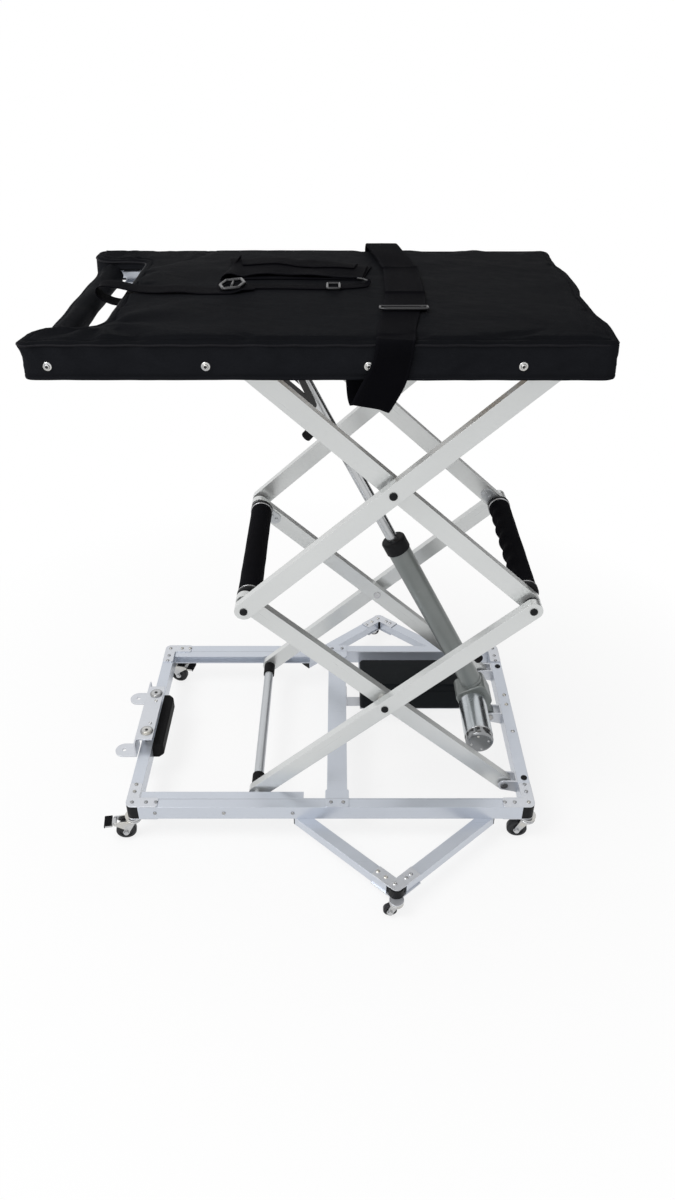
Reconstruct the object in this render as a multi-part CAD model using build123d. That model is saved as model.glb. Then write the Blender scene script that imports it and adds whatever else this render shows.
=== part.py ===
from build123d import *

import math
import os

# An electric two stage scissor lift cart, in millimetres, +Z up, standing on the floor at Z zero.
# +X runs along the cart from the hitch end to the fixed pivots, and the front side looks along -Y.

# Base frame
base_length = 1000.0
base_width = 640.0
rail_width = 30.0
rail_height = 40.0
rail_wall = 2.5
rail_top = 115.0
plate_thickness = 2.5
corner_leg = 78.0
corner_radius = 15.0
plate_end_radius = 6.0
spigot_length = 25.0
spigot_clearance = 0.2
cross_bar_x = 16.5
cross_bar_width = 50.0
cross_bar_height = 24.0
cross_plate_width = 58.0
cross_plate_lap = 27.0

# Inner tracks for the rollers, the same section on the base and under the platform
track_start_inset = 33.0
track_length = 401.0
track_height = 26.0
track_depth = 21.0
track_wall = 2.5
roller_radius = 10.2
roller_gap = 0.3
roller_length = 15.0

# Scissor
arm_pitch = 832.0
rest_angle = 41.8
arm_height = 40.0
arm_thickness = 20.0
arm_wall = 2.2
arm_track_gap = 29.0
arm_gap = 12.0
fixed_pivot_inset = 63.0
pivot_height = 102.0
pin_radius = 6.0
pin_clearance = 0.06
pin_head_radius = 9.5
pin_head_height = 2.6
pivot_cap_radius = 6.5
pivot_cap_height = 1.6
spacer_radius = 16.0
spacer_gap = 0.3

# Sliding axle, top axles and their black sleeves
axle_tube_radius = 12.5
axle_radius = 8.0
axle_boss_step = 2.0
sleeve_radius = 15.5
sleeve_length = 40.0
bumper_radius = 10.0
bumper_height = 16.0
lower_bumper_place = 664.0
upper_bumper_place = 614.0

# Handles between the inner arms
handle_radius = 12.5
grip_radius = 27.0
grip_gap = 0.4
grip_offset = 9.0
handle_cup_length = 3.0
handle_screw_spacing = 15.0
handle_flange_thickness = 3.0
handle_flange_width = 30.0
handle_flange_reach = 52.0

# Clevis brackets on the right end rail
clevis_wall = 4.0
clevis_gap = 4.0
clevis_eye_radius = 15.0
clevis_base_height = 36.0

# Actuator, built along its own axis from its lower pin
actuator_y = 35.0
rod_pin_place = 702.6
tail_width = 26.0
tail_radius = 14.0
tail_length = 58.0
actuator_clevis_gap = 30.0
gearbox_start = 52.0
gearbox_length = 76.0
gearbox_width = 62.0
gearbox_left = 54.0
gearbox_right = 31.0
gearbox_rounding = 9.0
gearbox_collar_step = 1.0
motor_offset = 18.0
motor_flange_step = 2.0
motor_cap_step = 1.0
motor_place = 89.0
motor_radius = 36.5
motor_length = 128.0
motor_cap_length = 26.0
motor_vent_count = 10
motor_vent_depth = 2.5
motor_vent_width = 5.0
outer_tube_radius = 27.5
outer_tube_wall = 4.0
outer_tube_end = 596.0
collar_radius = 30.0
collar_length = 34.0
rod_radius = 14.0
rod_start = 583.0
rod_eye_radius = 17.0
rod_eye_width = 24.0

# Yoke that the rod lifts, carried by the upper inner arms
yoke_tube_radius = 15.0
yoke_tube_wall = 2.5
yoke_tube_place = 786.0
yoke_tube_drop = 7.0
yoke_bolt_place = 746.0
yoke_bolt_drop = 22.0
yoke_plate_thickness = 5.0
yoke_plate_face = 32.0
yoke_plate_rim = 13.0
yoke_reach = 142.0
yoke_depth = 52.0

# Wings under the base rails
wing_apex_x = 152.0
wing_reach = 197.0
wing_left_x = -78.0
wing_right_inset = 107.0
wing_tube_width = 30.0
wing_tube_height = 25.0
wing_tube_wall = 2.0
wing_plate_radius = 18.0
wing_plate_leg = 62.0
wing_foot_reach = 18.0
wing_cap_thickness = 3.0

# Castors
castor_inset = 12.0
wheel_radius = 25.0
wheel_width = 18.0
wheel_rounding = 4.0
castor_trail = 22.0
race_radius = 20.0
washer_gap = 0.6
race_height = 8.0
small_wheel_radius = 16.0
small_wheel_width = 13.0
small_castor_trail = 14.0
small_race_radius = 17.0
small_race_height = 5.0
castor_gap = 0.35
fork_dish = 5.0
fork_wall = 2.5
fork_side_gap = 1.2
kingpin_radius = 5.0
wheel_axle_radius = 4.0
hub_recess = 2.0
castor_nut_radius = 6.0
castor_nut_height = 4.0
pedal_length = 20.0
pedal_width = 32.0
pedal_thickness = 3.0
pedal_pin_radius = 3.0
pedal_pin_inset = 2.0
pedal_ear_radius = 5.0
pedal_swing_gap = 6.5

# Hitch bracket on the left end rail
hitch_y = -9.0
hitch_length = 211.0
hitch_width = 45.0
hitch_height = 30.0
hitch_plate = 4.0
hitch_bolt_spacing = 149.0
hitch_bolt_radius = 17.0
hitch_bolt_head = 4.0
hitch_post_radius = 9.0
tongue_reach = 67.0
tongue_width = 46.0
tongue_drop = 15.0
tongue_spacing = 204.0
tongue_hole_radius = 5.25
hitch_bumper_depth = 27.0
hitch_bumper_length = 206.0
hitch_bumper_height = 36.0
hitch_bumper_chamfer = 12.0

# Control box
box_bar_gap = 39.5
box_pivot_gap = 71.0
box_rail_gap = 90.0
box_actuator_gap = 49.0
box_top = 160.0
box_rounding = 12.0
box_seam_depth = 1.2
box_seam_width = 2.0
box_seam_drop = 22.0
tray_thickness = 2.5
gland_radius = 9.0
gland_length = 12.0
cable_radius = 4.0
cable_bend = 24.0
relief_radius = 7.0
relief_length = 8.0

# Platform
platform_length = 1015.0
platform_overhang = 54.0
platform_rise = 46.5
platform_track_inset = 57.0
skirt_height = 64.0
cover_thickness = 3.5
cover_gap = 0.4
cover_edge_radius = 9.0
deck_thickness = 9.0
platform_rail_width = 25.0
platform_rail_height = 40.0
platform_rail_wall = 2.0
platform_bar_height = 12.0
platform_bar_width = 40.0
platform_bar_shares = (0.13, 0.42, 0.71)
notch_depth = 124.0
notch_side = 88.0
notch_lip = 12.0
notch_axle_relief = 16.0
grab_bar_inset = 41.0
grab_bar_radius = 14.0
grab_foam_radius = 23.0
pivot_block_length = 40.0

# Straps on the cover
strap_thickness = 3.0
strap_gap = 0.4
lashing_width = 70.0
lashing_x = 121.0
lashing_hang = 54.0
lashing_slant = 16.0
lashing_rear_drop = 20.0
lashing_return = 24.0
lashing_bump_height = 15.0
lashing_bump_shoulder = 8.0
lashing_bump_width = 74.0
shoulder_width = 28.0
shoulder_y = -30.0
shoulder_wide_start = -228.0
shoulder_wide_y = 95.0
shoulder_wide_width = 70.0
shoulder_loop_reach = 50.0
shoulder_loop_tail = 8.0
shoulder_loop_rise = 9.0
shoulder_loop_bend = 4.0

# Fasteners
screw_head_radius = 4.6
screw_head_height = 2.6
track_screw_shares = (0.095, 0.515, 0.935)

# Places worked out from the sizes above
overrun = 5.0
half_width = base_width / 2
half_length = base_length / 2
platform_width = base_width
track_start = track_start_inset - half_length
track_end = track_start + track_length
fixed_pivot_x = half_length - fixed_pivot_inset
box_x_start = cross_bar_x + cross_bar_width / 2 + box_bar_gap
box_x_end = fixed_pivot_x - box_pivot_gap
wing_right_x = half_length - wing_right_inset
wing_apex_y = half_width + wing_reach
castor_x = half_length - castor_inset
castor_y = half_width - corner_radius
base_x = (half_length + tongue_reach - castor_x - race_radius) / 2
rail_bottom = rail_top - rail_height
rail_inner_y = half_width - rail_width
rail_inner_x = half_length - rail_width
outer_arm_face = rail_inner_y - track_depth - arm_track_gap
inner_arm_face = outer_arm_face - arm_gap - arm_thickness
box_y_end = rail_inner_y - box_rail_gap
box_y_start = actuator_y + box_actuator_gap
arm_span = arm_pitch * math.cos(math.radians(rest_angle))
arm_rise = arm_pitch * math.sin(math.radians(rest_angle))
pivot_x = base_x + fixed_pivot_x
slide_x = pivot_x - arm_span
level_0 = pivot_height
level_1 = level_0 + arm_rise
level_2 = level_1 + arm_rise
arm_radius = arm_height / 2
half_pitch = arm_pitch / 2
rod_pin_x = rod_pin_place * math.cos(math.radians(rest_angle))
rod_pin_z = (arm_pitch + rod_pin_place) * math.sin(math.radians(rest_angle))
actuator_extended = math.hypot(rod_pin_x, rod_pin_z)
platform_top = level_2 + platform_rise
skirt_bottom = platform_top - skirt_height
deck_top = platform_top - cover_thickness - cover_gap
frame_top = deck_top - deck_thickness
cover_inset = cover_thickness + cover_gap
platform_high_x = pivot_x + platform_overhang
platform_low_x = platform_high_x - platform_length
platform_x = (platform_low_x + platform_high_x) / 2
notch_x = platform_low_x + notch_depth
notch_half_width = platform_width / 2 - notch_side
grab_bar_x = platform_low_x + grab_bar_inset
platform_rail_face = platform_width / 2 - cover_inset - platform_rail_width
wing_rise = rail_bottom - wing_tube_height
sides = (-1, 1)


def block(x, y, z):
    """A plain box from its low and high places along X, Y and Z."""
    size = [high - low for low, high in (x, y, z)]
    middle = [(low + high) / 2 for low, high in (x, y, z)]
    return Pos(*middle) * Box(*size)


def spread(low, high, side):
    """The span between two distances from the centre plane, on one side of it."""
    return tuple(sorted((low * side, high * side)))


def rod_y(x, z, y, radius):
    """A cylinder along Y between two places."""
    return Pos(x, (y[0] + y[1]) / 2, z) * Rot(X=90) * Cylinder(radius, y[1] - y[0])


def rod_z(x, y, z, radius):
    """A cylinder along Z between two heights."""
    return Pos(x, y, (z[0] + z[1]) / 2) * Cylinder(radius, z[1] - z[0])


def rod_x(x, y, z, radius):
    """A cylinder along X between two places."""
    return Pos((x[0] + x[1]) / 2, y, z) * Rot(Y=90) * Cylinder(radius, x[1] - x[0])


def tube_y(x, z, y, radius, bore):
    """A round tube along Y."""
    longer = (y[0] - overrun, y[1] + overrun)
    return rod_y(x, z, y, radius) - rod_y(x, z, longer, bore)


def box_tube_x(x, y, z, wall):
    """A rectangular tube along X, open at both ends."""
    inside = block((x[0] - overrun, x[1] + overrun), (y[0] + wall, y[1] - wall), (z[0] + wall, z[1] - wall))
    return block(x, y, z) - inside


def box_tube_y(x, y, z, wall):
    """A rectangular tube along Y, open at both ends."""
    inside = block((x[0] + wall, x[1] - wall), (y[0] - overrun, y[1] + overrun), (z[0] + wall, z[1] - wall))
    return block(x, y, z) - inside


def screw_z(x, y, z):
    """A low round screw head on an upward face."""
    head = rod_z(x, y, (z, z + screw_head_height), screw_head_radius)
    return chamfer(head.faces().sort_by(Axis.Z)[-1].edges(), screw_head_height / 2)


def screw_y(x, y, z, side):
    """A low round screw head on a face that looks sideways."""
    head = rod_y(x, z, spread(y, y + screw_head_height, side), screw_head_radius)
    outer = head.faces().sort_by(Axis.Y)[-1 if side > 0 else 0]
    return chamfer(outer.edges(), screw_head_height / 2)


# Base frame: rails, cross bar, corner blocks and joint plates

def base_rails():
    """Two long rails, two end rails and the cross bar with its lapping end plates."""
    z = (rail_bottom, rail_top)
    pieces = []
    for side in sides:
        long_x = (base_x - rail_inner_x, base_x + rail_inner_x)
        pieces.append(box_tube_x(long_x, spread(rail_inner_y, half_width, side), z, rail_wall))
    for side in sides:
        low, high = spread(rail_inner_x, half_length, side)
        end_x = (base_x + low, base_x + high)
        pieces.append(box_tube_y(end_x, (-rail_inner_y, rail_inner_y), z, rail_wall))
    bar_x = base_x + cross_bar_x
    bar_span = (bar_x - cross_bar_width / 2, bar_x + cross_bar_width / 2)
    bar_z = (rail_top - cross_bar_height, rail_top)
    bar = box_tube_y(bar_span, (-rail_inner_y, rail_inner_y), bar_z, rail_wall)
    plate_span = (bar_x - cross_plate_width / 2, bar_x + cross_plate_width / 2)
    for side in sides:
        plate_y = spread(rail_inner_y - cross_plate_lap, half_width, side)
        plate = block(plate_span, plate_y, (rail_top, rail_top + plate_thickness))
        bar += fillet(plate.edges().filter_by(Axis.Z), plate_end_radius)
    pieces.append(bar)
    return pieces


def corner_outline(side_x, side_y):
    """The L shaped outline of a corner plate, with its outer corner rounded."""
    x = base_x + side_x * half_length
    y = side_y * half_width
    leg_x = x - side_x * corner_leg / 2
    leg_y = y - side_y * corner_leg / 2
    long_leg = Pos(leg_x, y - side_y * rail_width / 2) * Rectangle(corner_leg, rail_width)
    short_leg = Pos(x - side_x * rail_width / 2, leg_y) * Rectangle(rail_width, corner_leg)
    outline = long_leg + short_leg
    outer = outline.vertices().sort_by_distance((x, y, 0))[0]
    ends = outline.vertices().sort_by_distance((x, y, 0))[-4:]
    outline = fillet(outer, corner_radius)
    ends = outline.vertices().sort_by_distance((x, y, 0))[-4:]
    return fillet(ends, plate_end_radius)


def corner_block(side_x, side_y):
    """A moulded corner between two rails, with a spigot into each tube."""
    x = base_x + side_x * (half_length - rail_width / 2)
    y = side_y * (half_width - rail_width / 2)
    corner = Pos(x, y) * Rectangle(rail_width, rail_width)
    outer = corner.vertices().sort_by_distance((base_x + side_x * base_length, side_y * base_width, 0))[0]
    body = Pos(0, 0, rail_bottom) * extrude(fillet(outer, corner_radius), rail_height)
    slack = rail_wall + spigot_clearance
    middle_z = (rail_bottom + rail_top) / 2
    reach = (rail_width + spigot_length) / 2
    section = rail_width - 2 * slack
    height = rail_height - 2 * slack
    body += Pos(x - side_x * reach, y, middle_z) * Box(spigot_length, section, height)
    body += Pos(x, y - side_y * reach, middle_z) * Box(section, spigot_length, height)
    return body


def wing_frame(side):
    """The apex of a wing and its two tube directions, as unit vectors that leave the apex."""
    apex = Vector(base_x + wing_apex_x, side * wing_apex_y, 0)
    root_y = side * (half_width - rail_width / 2)
    roots = [Vector(base_x + x, root_y, 0) for x in (wing_left_x, wing_right_x)]
    return apex, roots, [(root - apex).normalized() for root in roots]


def wing_outline(side, radius, leg):
    """A V shaped plate outline round a wing's apex."""
    apex, _, ways = wing_frame(side)
    outline = Pos(apex.X, apex.Y) * Circle(radius)
    for way in ways:
        angle = math.degrees(math.atan2(way.Y, way.X))
        place = apex + way * leg / 2
        outline += Pos(place.X, place.Y) * Rot(Z=angle) * Rectangle(leg, 2 * radius)
    return outline


def frame_plates():
    """Corner plates above and below the rails, and the plates of the wings' apexes."""
    plates = []
    for side_x in sides:
        for side_y in sides:
            outline = corner_outline(side_x, side_y)
            plates.append(Pos(0, 0, rail_top) * extrude(outline, plate_thickness))
            plates.append(Pos(0, 0, rail_bottom - plate_thickness) * extrude(outline, plate_thickness))
    for side in sides:
        upper = wing_outline(side, wing_tube_width / 2, wing_plate_leg)
        plates.append(Pos(0, 0, rail_bottom) * extrude(upper, plate_thickness))
        foot_y = side * (wing_apex_y + wing_foot_reach)
        lower = wing_outline(side, wing_plate_radius, wing_plate_leg)
        lower += Pos(base_x + wing_apex_x, foot_y) * Circle(small_race_radius)
        plates.append(Pos(0, 0, wing_rise - plate_thickness) * extrude(lower, plate_thickness))
    return plates


def wing_plug(apex, root, way):
    """The end cap of a wing tube, with a short spigot."""
    angle = math.degrees(math.atan2(way.Y, way.X))
    slack = wing_tube_wall + spigot_clearance
    place = root + way * wing_cap_thickness / 2
    frame = Pos(place.X, place.Y, (wing_rise + rail_bottom) / 2) * Rot(Z=angle)
    cap = Box(wing_cap_thickness, wing_tube_width, wing_tube_height)
    spigot = Box(spigot_length, wing_tube_width - 2 * slack, wing_tube_height - 2 * slack)
    return frame * (cap + Pos(-spigot_length / 2, 0, 0) * spigot)


def frame_blocks():
    """The black moulded blocks at the base's corners and at the wings' apexes."""
    blocks = [corner_block(side_x, side_y) for side_x in sides for side_y in sides]
    for side in sides:
        apex, roots, ways = wing_frame(side)
        core = rod_z(apex.X, apex.Y, (wing_rise, rail_bottom), wing_plate_radius)
        slack = wing_tube_wall + spigot_clearance
        for way in ways:
            angle = math.degrees(math.atan2(way.Y, way.X))
            reach = wing_plate_radius + spigot_length
            place = apex + way * reach / 2
            middle = Pos(place.X, place.Y, (wing_rise + rail_bottom) / 2) * Rot(Z=angle)
            core += middle * Box(reach, wing_tube_width - 2 * slack, wing_tube_height - 2 * slack)
        blocks.append(core)
        blocks += [wing_plug(apex, root, way) for root, way in zip(roots, ways)]
    return blocks


def wing_tubes():
    """Two tubes for each wing, from under the rail to the apex block."""
    tubes = []
    for side in sides:
        apex, roots, ways = wing_frame(side)
        for root, way in zip(roots, ways):
            angle = math.degrees(math.atan2(way.Y, way.X))
            length = (root - apex).length - wing_plate_radius
            place = apex + way * (wing_plate_radius + length / 2)
            frame = Pos(place.X, place.Y, (wing_rise + rail_bottom) / 2) * Rot(Z=angle)
            bore_width = wing_tube_width - 2 * wing_tube_wall
            bore = Box(length + overrun, bore_width, wing_tube_height - 2 * wing_tube_wall)
            tubes.append(frame * (Box(length, wing_tube_width, wing_tube_height) - bore))
    return tubes


def track(side, x, centre_z, back):
    """A roller track, a channel that is open towards the scissor."""
    y = spread(back - track_depth, back, side)
    inside = spread(back - track_depth - overrun, back - track_wall, side)
    z = (centre_z - track_height / 2, centre_z + track_height / 2)
    hollow = block((x[0] - overrun, x[1] + overrun), inside, (z[0] + track_wall, z[1] - track_wall))
    return block(x, y, z) - hollow


def clevis(centre_y, gap, eye_x, eye_z):
    """A bent bracket on the end rail's inner face, with two eyes for one pin."""
    back_x = base_x + rail_inner_x
    base = (centre_y - gap / 2 - clevis_wall, centre_y + gap / 2 + clevis_wall)
    bracket = block((back_x - clevis_wall, back_x), base, (rail_top - clevis_base_height, rail_top))
    for side in sides:
        middle = centre_y + side * (gap + clevis_wall) / 2
        wall = (middle - clevis_wall / 2, middle + clevis_wall / 2)
        low = rail_top - clevis_base_height
        tapered = make_face(Polyline(
            (back_x, low), (back_x, rail_top),
            (eye_x, eye_z + clevis_eye_radius), (eye_x, eye_z - clevis_eye_radius), close=True))
        lug = Pos(0, wall[1], 0) * Rot(X=90) * extrude(tapered, clevis_wall)
        lug += rod_y(eye_x, eye_z, wall, clevis_eye_radius)
        bracket += lug
    hole = (base[0] - overrun, base[1] + overrun)
    return bracket - rod_y(eye_x, eye_z, hole, pin_radius + pin_clearance)


def arm_clevises():
    """The front and rear brackets of the lower inner arms."""
    centre = inner_arm_face + arm_thickness / 2
    gap = arm_thickness + 2 * clevis_gap
    return [clevis(side * centre, gap, pivot_x, level_0) for side in sides]


def pin_y(x, z, y, head_side):
    """A pivot bolt along Y with a round head at one end."""
    head = spread(0, pin_head_height, head_side)
    place = y[1] if head_side > 0 else y[0]
    return rod_y(x, z, y, pin_radius) + rod_y(x, z, (place + head[0], place + head[1]), pin_head_radius)


def base_fasteners():
    """Clevis bolts, hitch bolts and the screws of the plates, the cross bar and the tracks."""
    parts = []
    half_gap = arm_thickness / 2 + clevis_gap + clevis_wall
    centre = inner_arm_face + arm_thickness / 2
    for side in sides:
        ends = (side * centre - half_gap, side * centre + half_gap)
        parts.append(pin_y(pivot_x, level_0, ends, side))
    half_gap = actuator_clevis_gap / 2 + clevis_wall
    parts.append(pin_y(pivot_x, level_0, (actuator_y - half_gap, actuator_y + half_gap), -1))
    top = rail_top + plate_thickness
    middle = rail_width / 2
    for side_x in sides:
        for side_y in sides:
            x = base_x + side_x * (half_length - middle)
            y = side_y * (half_width - middle)
            parts.append(screw_z(x, y, top))
            for step in (corner_leg / 2, corner_leg - middle):
                parts.append(screw_z(x - side_x * (step - screw_head_radius), y, top))
                parts.append(screw_z(x, y - side_y * (step - screw_head_radius), top))
    for side in sides:
        for offset in spread(-middle, middle, 1):
            y = side * (half_width - middle)
            parts.append(screw_z(base_x + cross_bar_x + offset, y, top))
        for share in track_screw_shares:
            x = base_x + track_start + share * (track_end - track_start)
            parts.append(screw_y(x, half_width, (rail_bottom + rail_top) / 2, side))
    plate_top = rail_top + hitch_height
    x = base_x - half_length + rail_width / 2
    for side in sides:
        y = hitch_y + side * hitch_bolt_spacing / 2
        bolt = rod_z(x, y, (rail_top, plate_top - hitch_plate), hitch_post_radius)
        head = rod_z(x, y, (plate_top, plate_top + hitch_bolt_head), hitch_bolt_radius)
        parts.append(bolt)
        parts.append(chamfer(head.faces().sort_by(Axis.Z)[-1].edges(), hitch_bolt_head / 2))
    return parts


# Hitch bracket at the left end

def hitch_bracket():
    """A raised plate on two posts whose legs bend out into two tongues with a hole each."""
    right = base_x - half_length + rail_width + hitch_plate
    left = right - hitch_width
    top = rail_top + hitch_height
    reach = (hitch_y - hitch_length / 2, hitch_y + hitch_length / 2)
    plate = block((left, right), reach, (top - hitch_plate, top))
    low = rail_top - tongue_drop
    tip = base_x - half_length - tongue_reach
    for side in sides:
        centre = hitch_y + side * tongue_spacing / 2
        span = (centre - tongue_width / 2, centre + tongue_width / 2)
        plate += block((left, left + hitch_plate), span, (low, top))
        tongue = block((tip + tongue_width / 2, left), span, (low, low + hitch_plate))
        tongue += rod_z(tip + tongue_width / 2, centre, (low, low + hitch_plate), tongue_width / 2)
        hole_z = (low - overrun, low + hitch_plate + overrun)
        plate += tongue - rod_z(tip + tongue_width / 2, centre, hole_z, tongue_hole_radius)
    return plate


def hitch_bumper():
    """The black bar on the inner side of the left end rail, with bevelled ends."""
    back = base_x - rail_inner_x
    y = (hitch_y - hitch_bumper_length / 2, hitch_y + hitch_bumper_length / 2)
    z = (rail_top - hitch_bumper_height, rail_top)
    bar = block((back, back + hitch_bumper_depth), y, z)
    bar = chamfer(bar.faces().sort_by(Axis.X)[-1].edges().filter_by(Axis.Z), hitch_bumper_chamfer)
    return fillet(bar.faces().sort_by(Axis.X)[-1].edges().filter_by(Axis.Y), hitch_bumper_chamfer / 3)


# Control box and the cable to the motor

def control_box():
    """A rounded two part housing with a seam groove and a cable gland at its right end."""
    x = (base_x + box_x_start, base_x + box_x_end)
    case = block(x, (box_y_start, box_y_end), (rail_bottom, box_top))
    case = fillet(case.edges().filter_by(Axis.Z), box_rounding)
    seam_z = (box_top - box_seam_drop, box_top - box_seam_drop + box_seam_width)
    outside = block((x[0] - overrun, x[1] + overrun), (box_y_start - overrun, box_y_end + overrun), seam_z)
    core = block((x[0] + box_seam_depth, x[1] - box_seam_depth),
                 (box_y_start + box_seam_depth, box_y_end - box_seam_depth), seam_z)
    core = fillet(core.edges().filter_by(Axis.Z), box_rounding - box_seam_depth)
    case = case - (outside - core)
    case = fillet(case.faces().sort_by(Axis.Z)[-1].edges(), box_rounding / 2)
    gland_y = box_y_start + 2 * box_rounding
    gland_z = rail_bottom + 2 * box_rounding
    return case + rod_x((x[1], x[1] + gland_length), gland_y, gland_z, gland_radius)


def control_box_tray():
    """A folded sheet under the box, screwed below the rear rail, with a tab on the cross bar."""
    x = (base_x + box_x_start, base_x + box_x_end)
    top = rail_bottom
    tray = block(x, (box_y_start, rail_inner_y + rail_width / 3), (top - tray_thickness, top))
    tab_x = (base_x + cross_bar_x + cross_bar_width / 2, x[0] - cover_gap)
    tab_y = (box_y_start + box_rounding, box_y_start + 4 * box_rounding)
    tray += block((tab_x[0], x[0] + overrun), tab_y, (top - tray_thickness, top))
    tray += block((tab_x[0], tab_x[0] + tray_thickness), tab_y, (top, rail_top))
    return tray


def write(name, shape):
    """Write one node, a solid or a list of separate solids, as a STEP file."""
    solids = shape if isinstance(shape, list) else [shape]
    solids = [solid for piece in solids for solid in piece.solids()]
    body = Compound(children=solids) if len(solids) > 1 else solids[0]
    export_step(body, f"parts/{name}.step")


# Scissor arms and their pivots

def direction(rising):
    """The unit direction of an arm in X and Z: 1 is up right, -1 is up left and 2 is down right."""
    angle = math.radians(rest_angle)
    way_z = -math.sin(angle) if rising > 1 else math.sin(angle)
    return (math.cos(angle) if rising > 0 else -math.cos(angle), way_z)


def along(start_x, start_z, rising, place, drop=0.0):
    """A point beside an arm: a distance along it, and a drop square to it."""
    way_x, way_z = direction(rising)
    return (start_x + way_x * place + rising * way_z * drop, start_z + way_z * place - abs(way_x) * drop)


def arm(start_x, start_z, rising, face, side, bores):
    """A hollow arm with rounded ends, bored at its pivots."""
    outline = Pos(half_pitch, 0) * SlotCenterToCenter(arm_pitch, arm_height)
    body = Pos(0, arm_thickness, 0) * Rot(X=90) * extrude(outline, arm_thickness)
    inner = arm_thickness - 2 * arm_wall
    hollow_z = (arm_wall - arm_radius, arm_radius - arm_wall)
    hollow = block((0, arm_pitch), (arm_wall, arm_wall + inner), hollow_z)
    body -= hollow
    for place, radius in bores:
        body -= rod_y(place, 0, (-overrun, arm_thickness + overrun), radius)
    tilt = -rest_angle if rising > 0 else rest_angle - 180
    low = min(side * face, side * (face + arm_thickness))
    return Pos(start_x, low, start_z) * Rot(Y=tilt) * body


def pair_of_arms(start_x, start_z, rising, face, bores):
    """The front and the rear arm of one pair."""
    return [arm(start_x, start_z, rising, face, side, bores) for side in sides]


def pivot_pins(places):
    """Bolts that join an inner to an outer arm, each with its head, its spacer and its outer cap."""
    parts = []
    inner = inner_arm_face
    outer = outer_arm_face + arm_thickness
    for x, z in places:
        for side in sides:
            pin = rod_y(x, z, spread(inner, outer, side), pin_radius)
            pin += rod_y(x, z, spread(inner - pin_head_height, inner, side), pin_head_radius)
            gap = (inner + arm_thickness + spacer_gap, outer_arm_face - spacer_gap)
            pin += rod_y(x, z, spread(gap[0], gap[1], side), spacer_radius)
            pin += rod_y(x, z, spread(outer + spacer_gap, outer + pivot_cap_height, side), pivot_cap_radius)
            parts.append(pin + rod_y(x, z, spread(outer, outer + spacer_gap, side), pin_radius))
    return parts


def grip_place(x, z, rising):
    """The middle of a handle, a little way down its arm from the pivot."""
    return along(x, z, rising, grip_offset)


def handle(x, z, rising):
    """A handle tube between the inner arms, welded to a flange that two screws hold on each arm."""
    face = inner_arm_face - handle_flange_thickness
    grip_x, grip_z = grip_place(x, z, rising)
    tube = tube_y(grip_x, grip_z, (-face, face), handle_radius, handle_radius - rail_wall)
    way_x, way_z = direction(rising)
    tilt = math.degrees(math.atan2(way_z, way_x))
    for side in sides:
        slot = SlotCenterToCenter(handle_flange_reach, handle_flange_width)
        outline = Pos(handle_flange_reach / 2, 0) * slot
        outline -= Circle(pin_head_radius + spacer_gap)
        low = min(side * inner_arm_face, side * (inner_arm_face - handle_flange_thickness))
        plate = Pos(0, handle_flange_thickness, 0) * Rot(X=90) * extrude(outline, handle_flange_thickness)
        tube += Pos(x, low, z) * Rot(Y=-tilt) * plate
        cup = rod_y(grip_x, grip_z, spread(face - handle_cup_length, face, side), handle_flange_width / 2)
        tube += cup
        last = handle_flange_reach + screw_head_radius
        for place in (last - handle_screw_spacing, last):
            spot_x, spot_z = along(x, z, rising, place)
            tube += rod_y(spot_x, spot_z, spread(face - screw_head_height, face, side), screw_head_radius)
    return tube


def grip(x, z, rising):
    """The foam sleeve of a handle, plain here."""
    end = inner_arm_face - handle_flange_thickness - handle_cup_length - grip_gap
    grip_x, grip_z = grip_place(x, z, rising)
    return tube_y(grip_x, grip_z, (-end, end), grip_radius, handle_radius + grip_gap)


def slider_axle():
    """The lower axle: a tube between the outer arms, with stub ends that carry the rollers."""
    tube = rod_y(slide_x, level_0, (-outer_arm_face, outer_arm_face), axle_tube_radius)
    end = rail_inner_y - track_wall - roller_gap
    return tube + rod_y(slide_x, level_0, (-end, end), axle_radius)


def lower_rubber_parts():
    """Black sleeves at the ends of the lower axle, and rubber bumpers under the outer arms."""
    parts = []
    for side in sides:
        span = spread(outer_arm_face - sleeve_length, outer_arm_face, side)
        parts.append(tube_y(slide_x, level_0, span, sleeve_radius, axle_tube_radius))
        parts.append(bumper(slide_x, level_0, 1, lower_bumper_place, outer_arm_face, side))
    return parts


def bumper(start_x, start_z, rising, place, face, side):
    """A round rubber stop that stands on an arm's underside."""
    stop = Pos(0, 0, -bumper_height / 2) * Cylinder(bumper_radius, bumper_height)
    stop = fillet(stop.faces().sort_by(Axis.Z)[0].edges(), bumper_radius / 3)
    tilt = -rest_angle if rising > 0 else rest_angle
    x, z = along(start_x, start_z, rising, place, arm_radius)
    return Pos(x, side * (face + arm_thickness / 2), z) * Rot(Y=tilt) * stop


def top_axle(x, ends):
    """An axle across the top of the scissor, thicker between the arms it carries."""
    face, reach = ends
    middle = rod_y(x, level_2, (-face, face), axle_radius + axle_boss_step)
    return middle + rod_y(x, level_2, (-reach, reach), axle_radius)


def rollers(z):
    """The two rollers of one axle, one in each track."""
    back = rail_inner_y - track_wall - 2 * roller_gap
    parts = []
    for side in sides:
        y = spread(back - roller_length, back, side)
        wheel = tube_y(slide_x, z, y, roller_radius, axle_radius + pin_clearance)
        parts.append(wheel)
    return parts


# Yoke and actuator

def yoke_point(place, drop):
    """A point of the yoke, along the upper inner arm and square to it."""
    return along(pivot_x, level_1, -1, place, drop)


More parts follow.
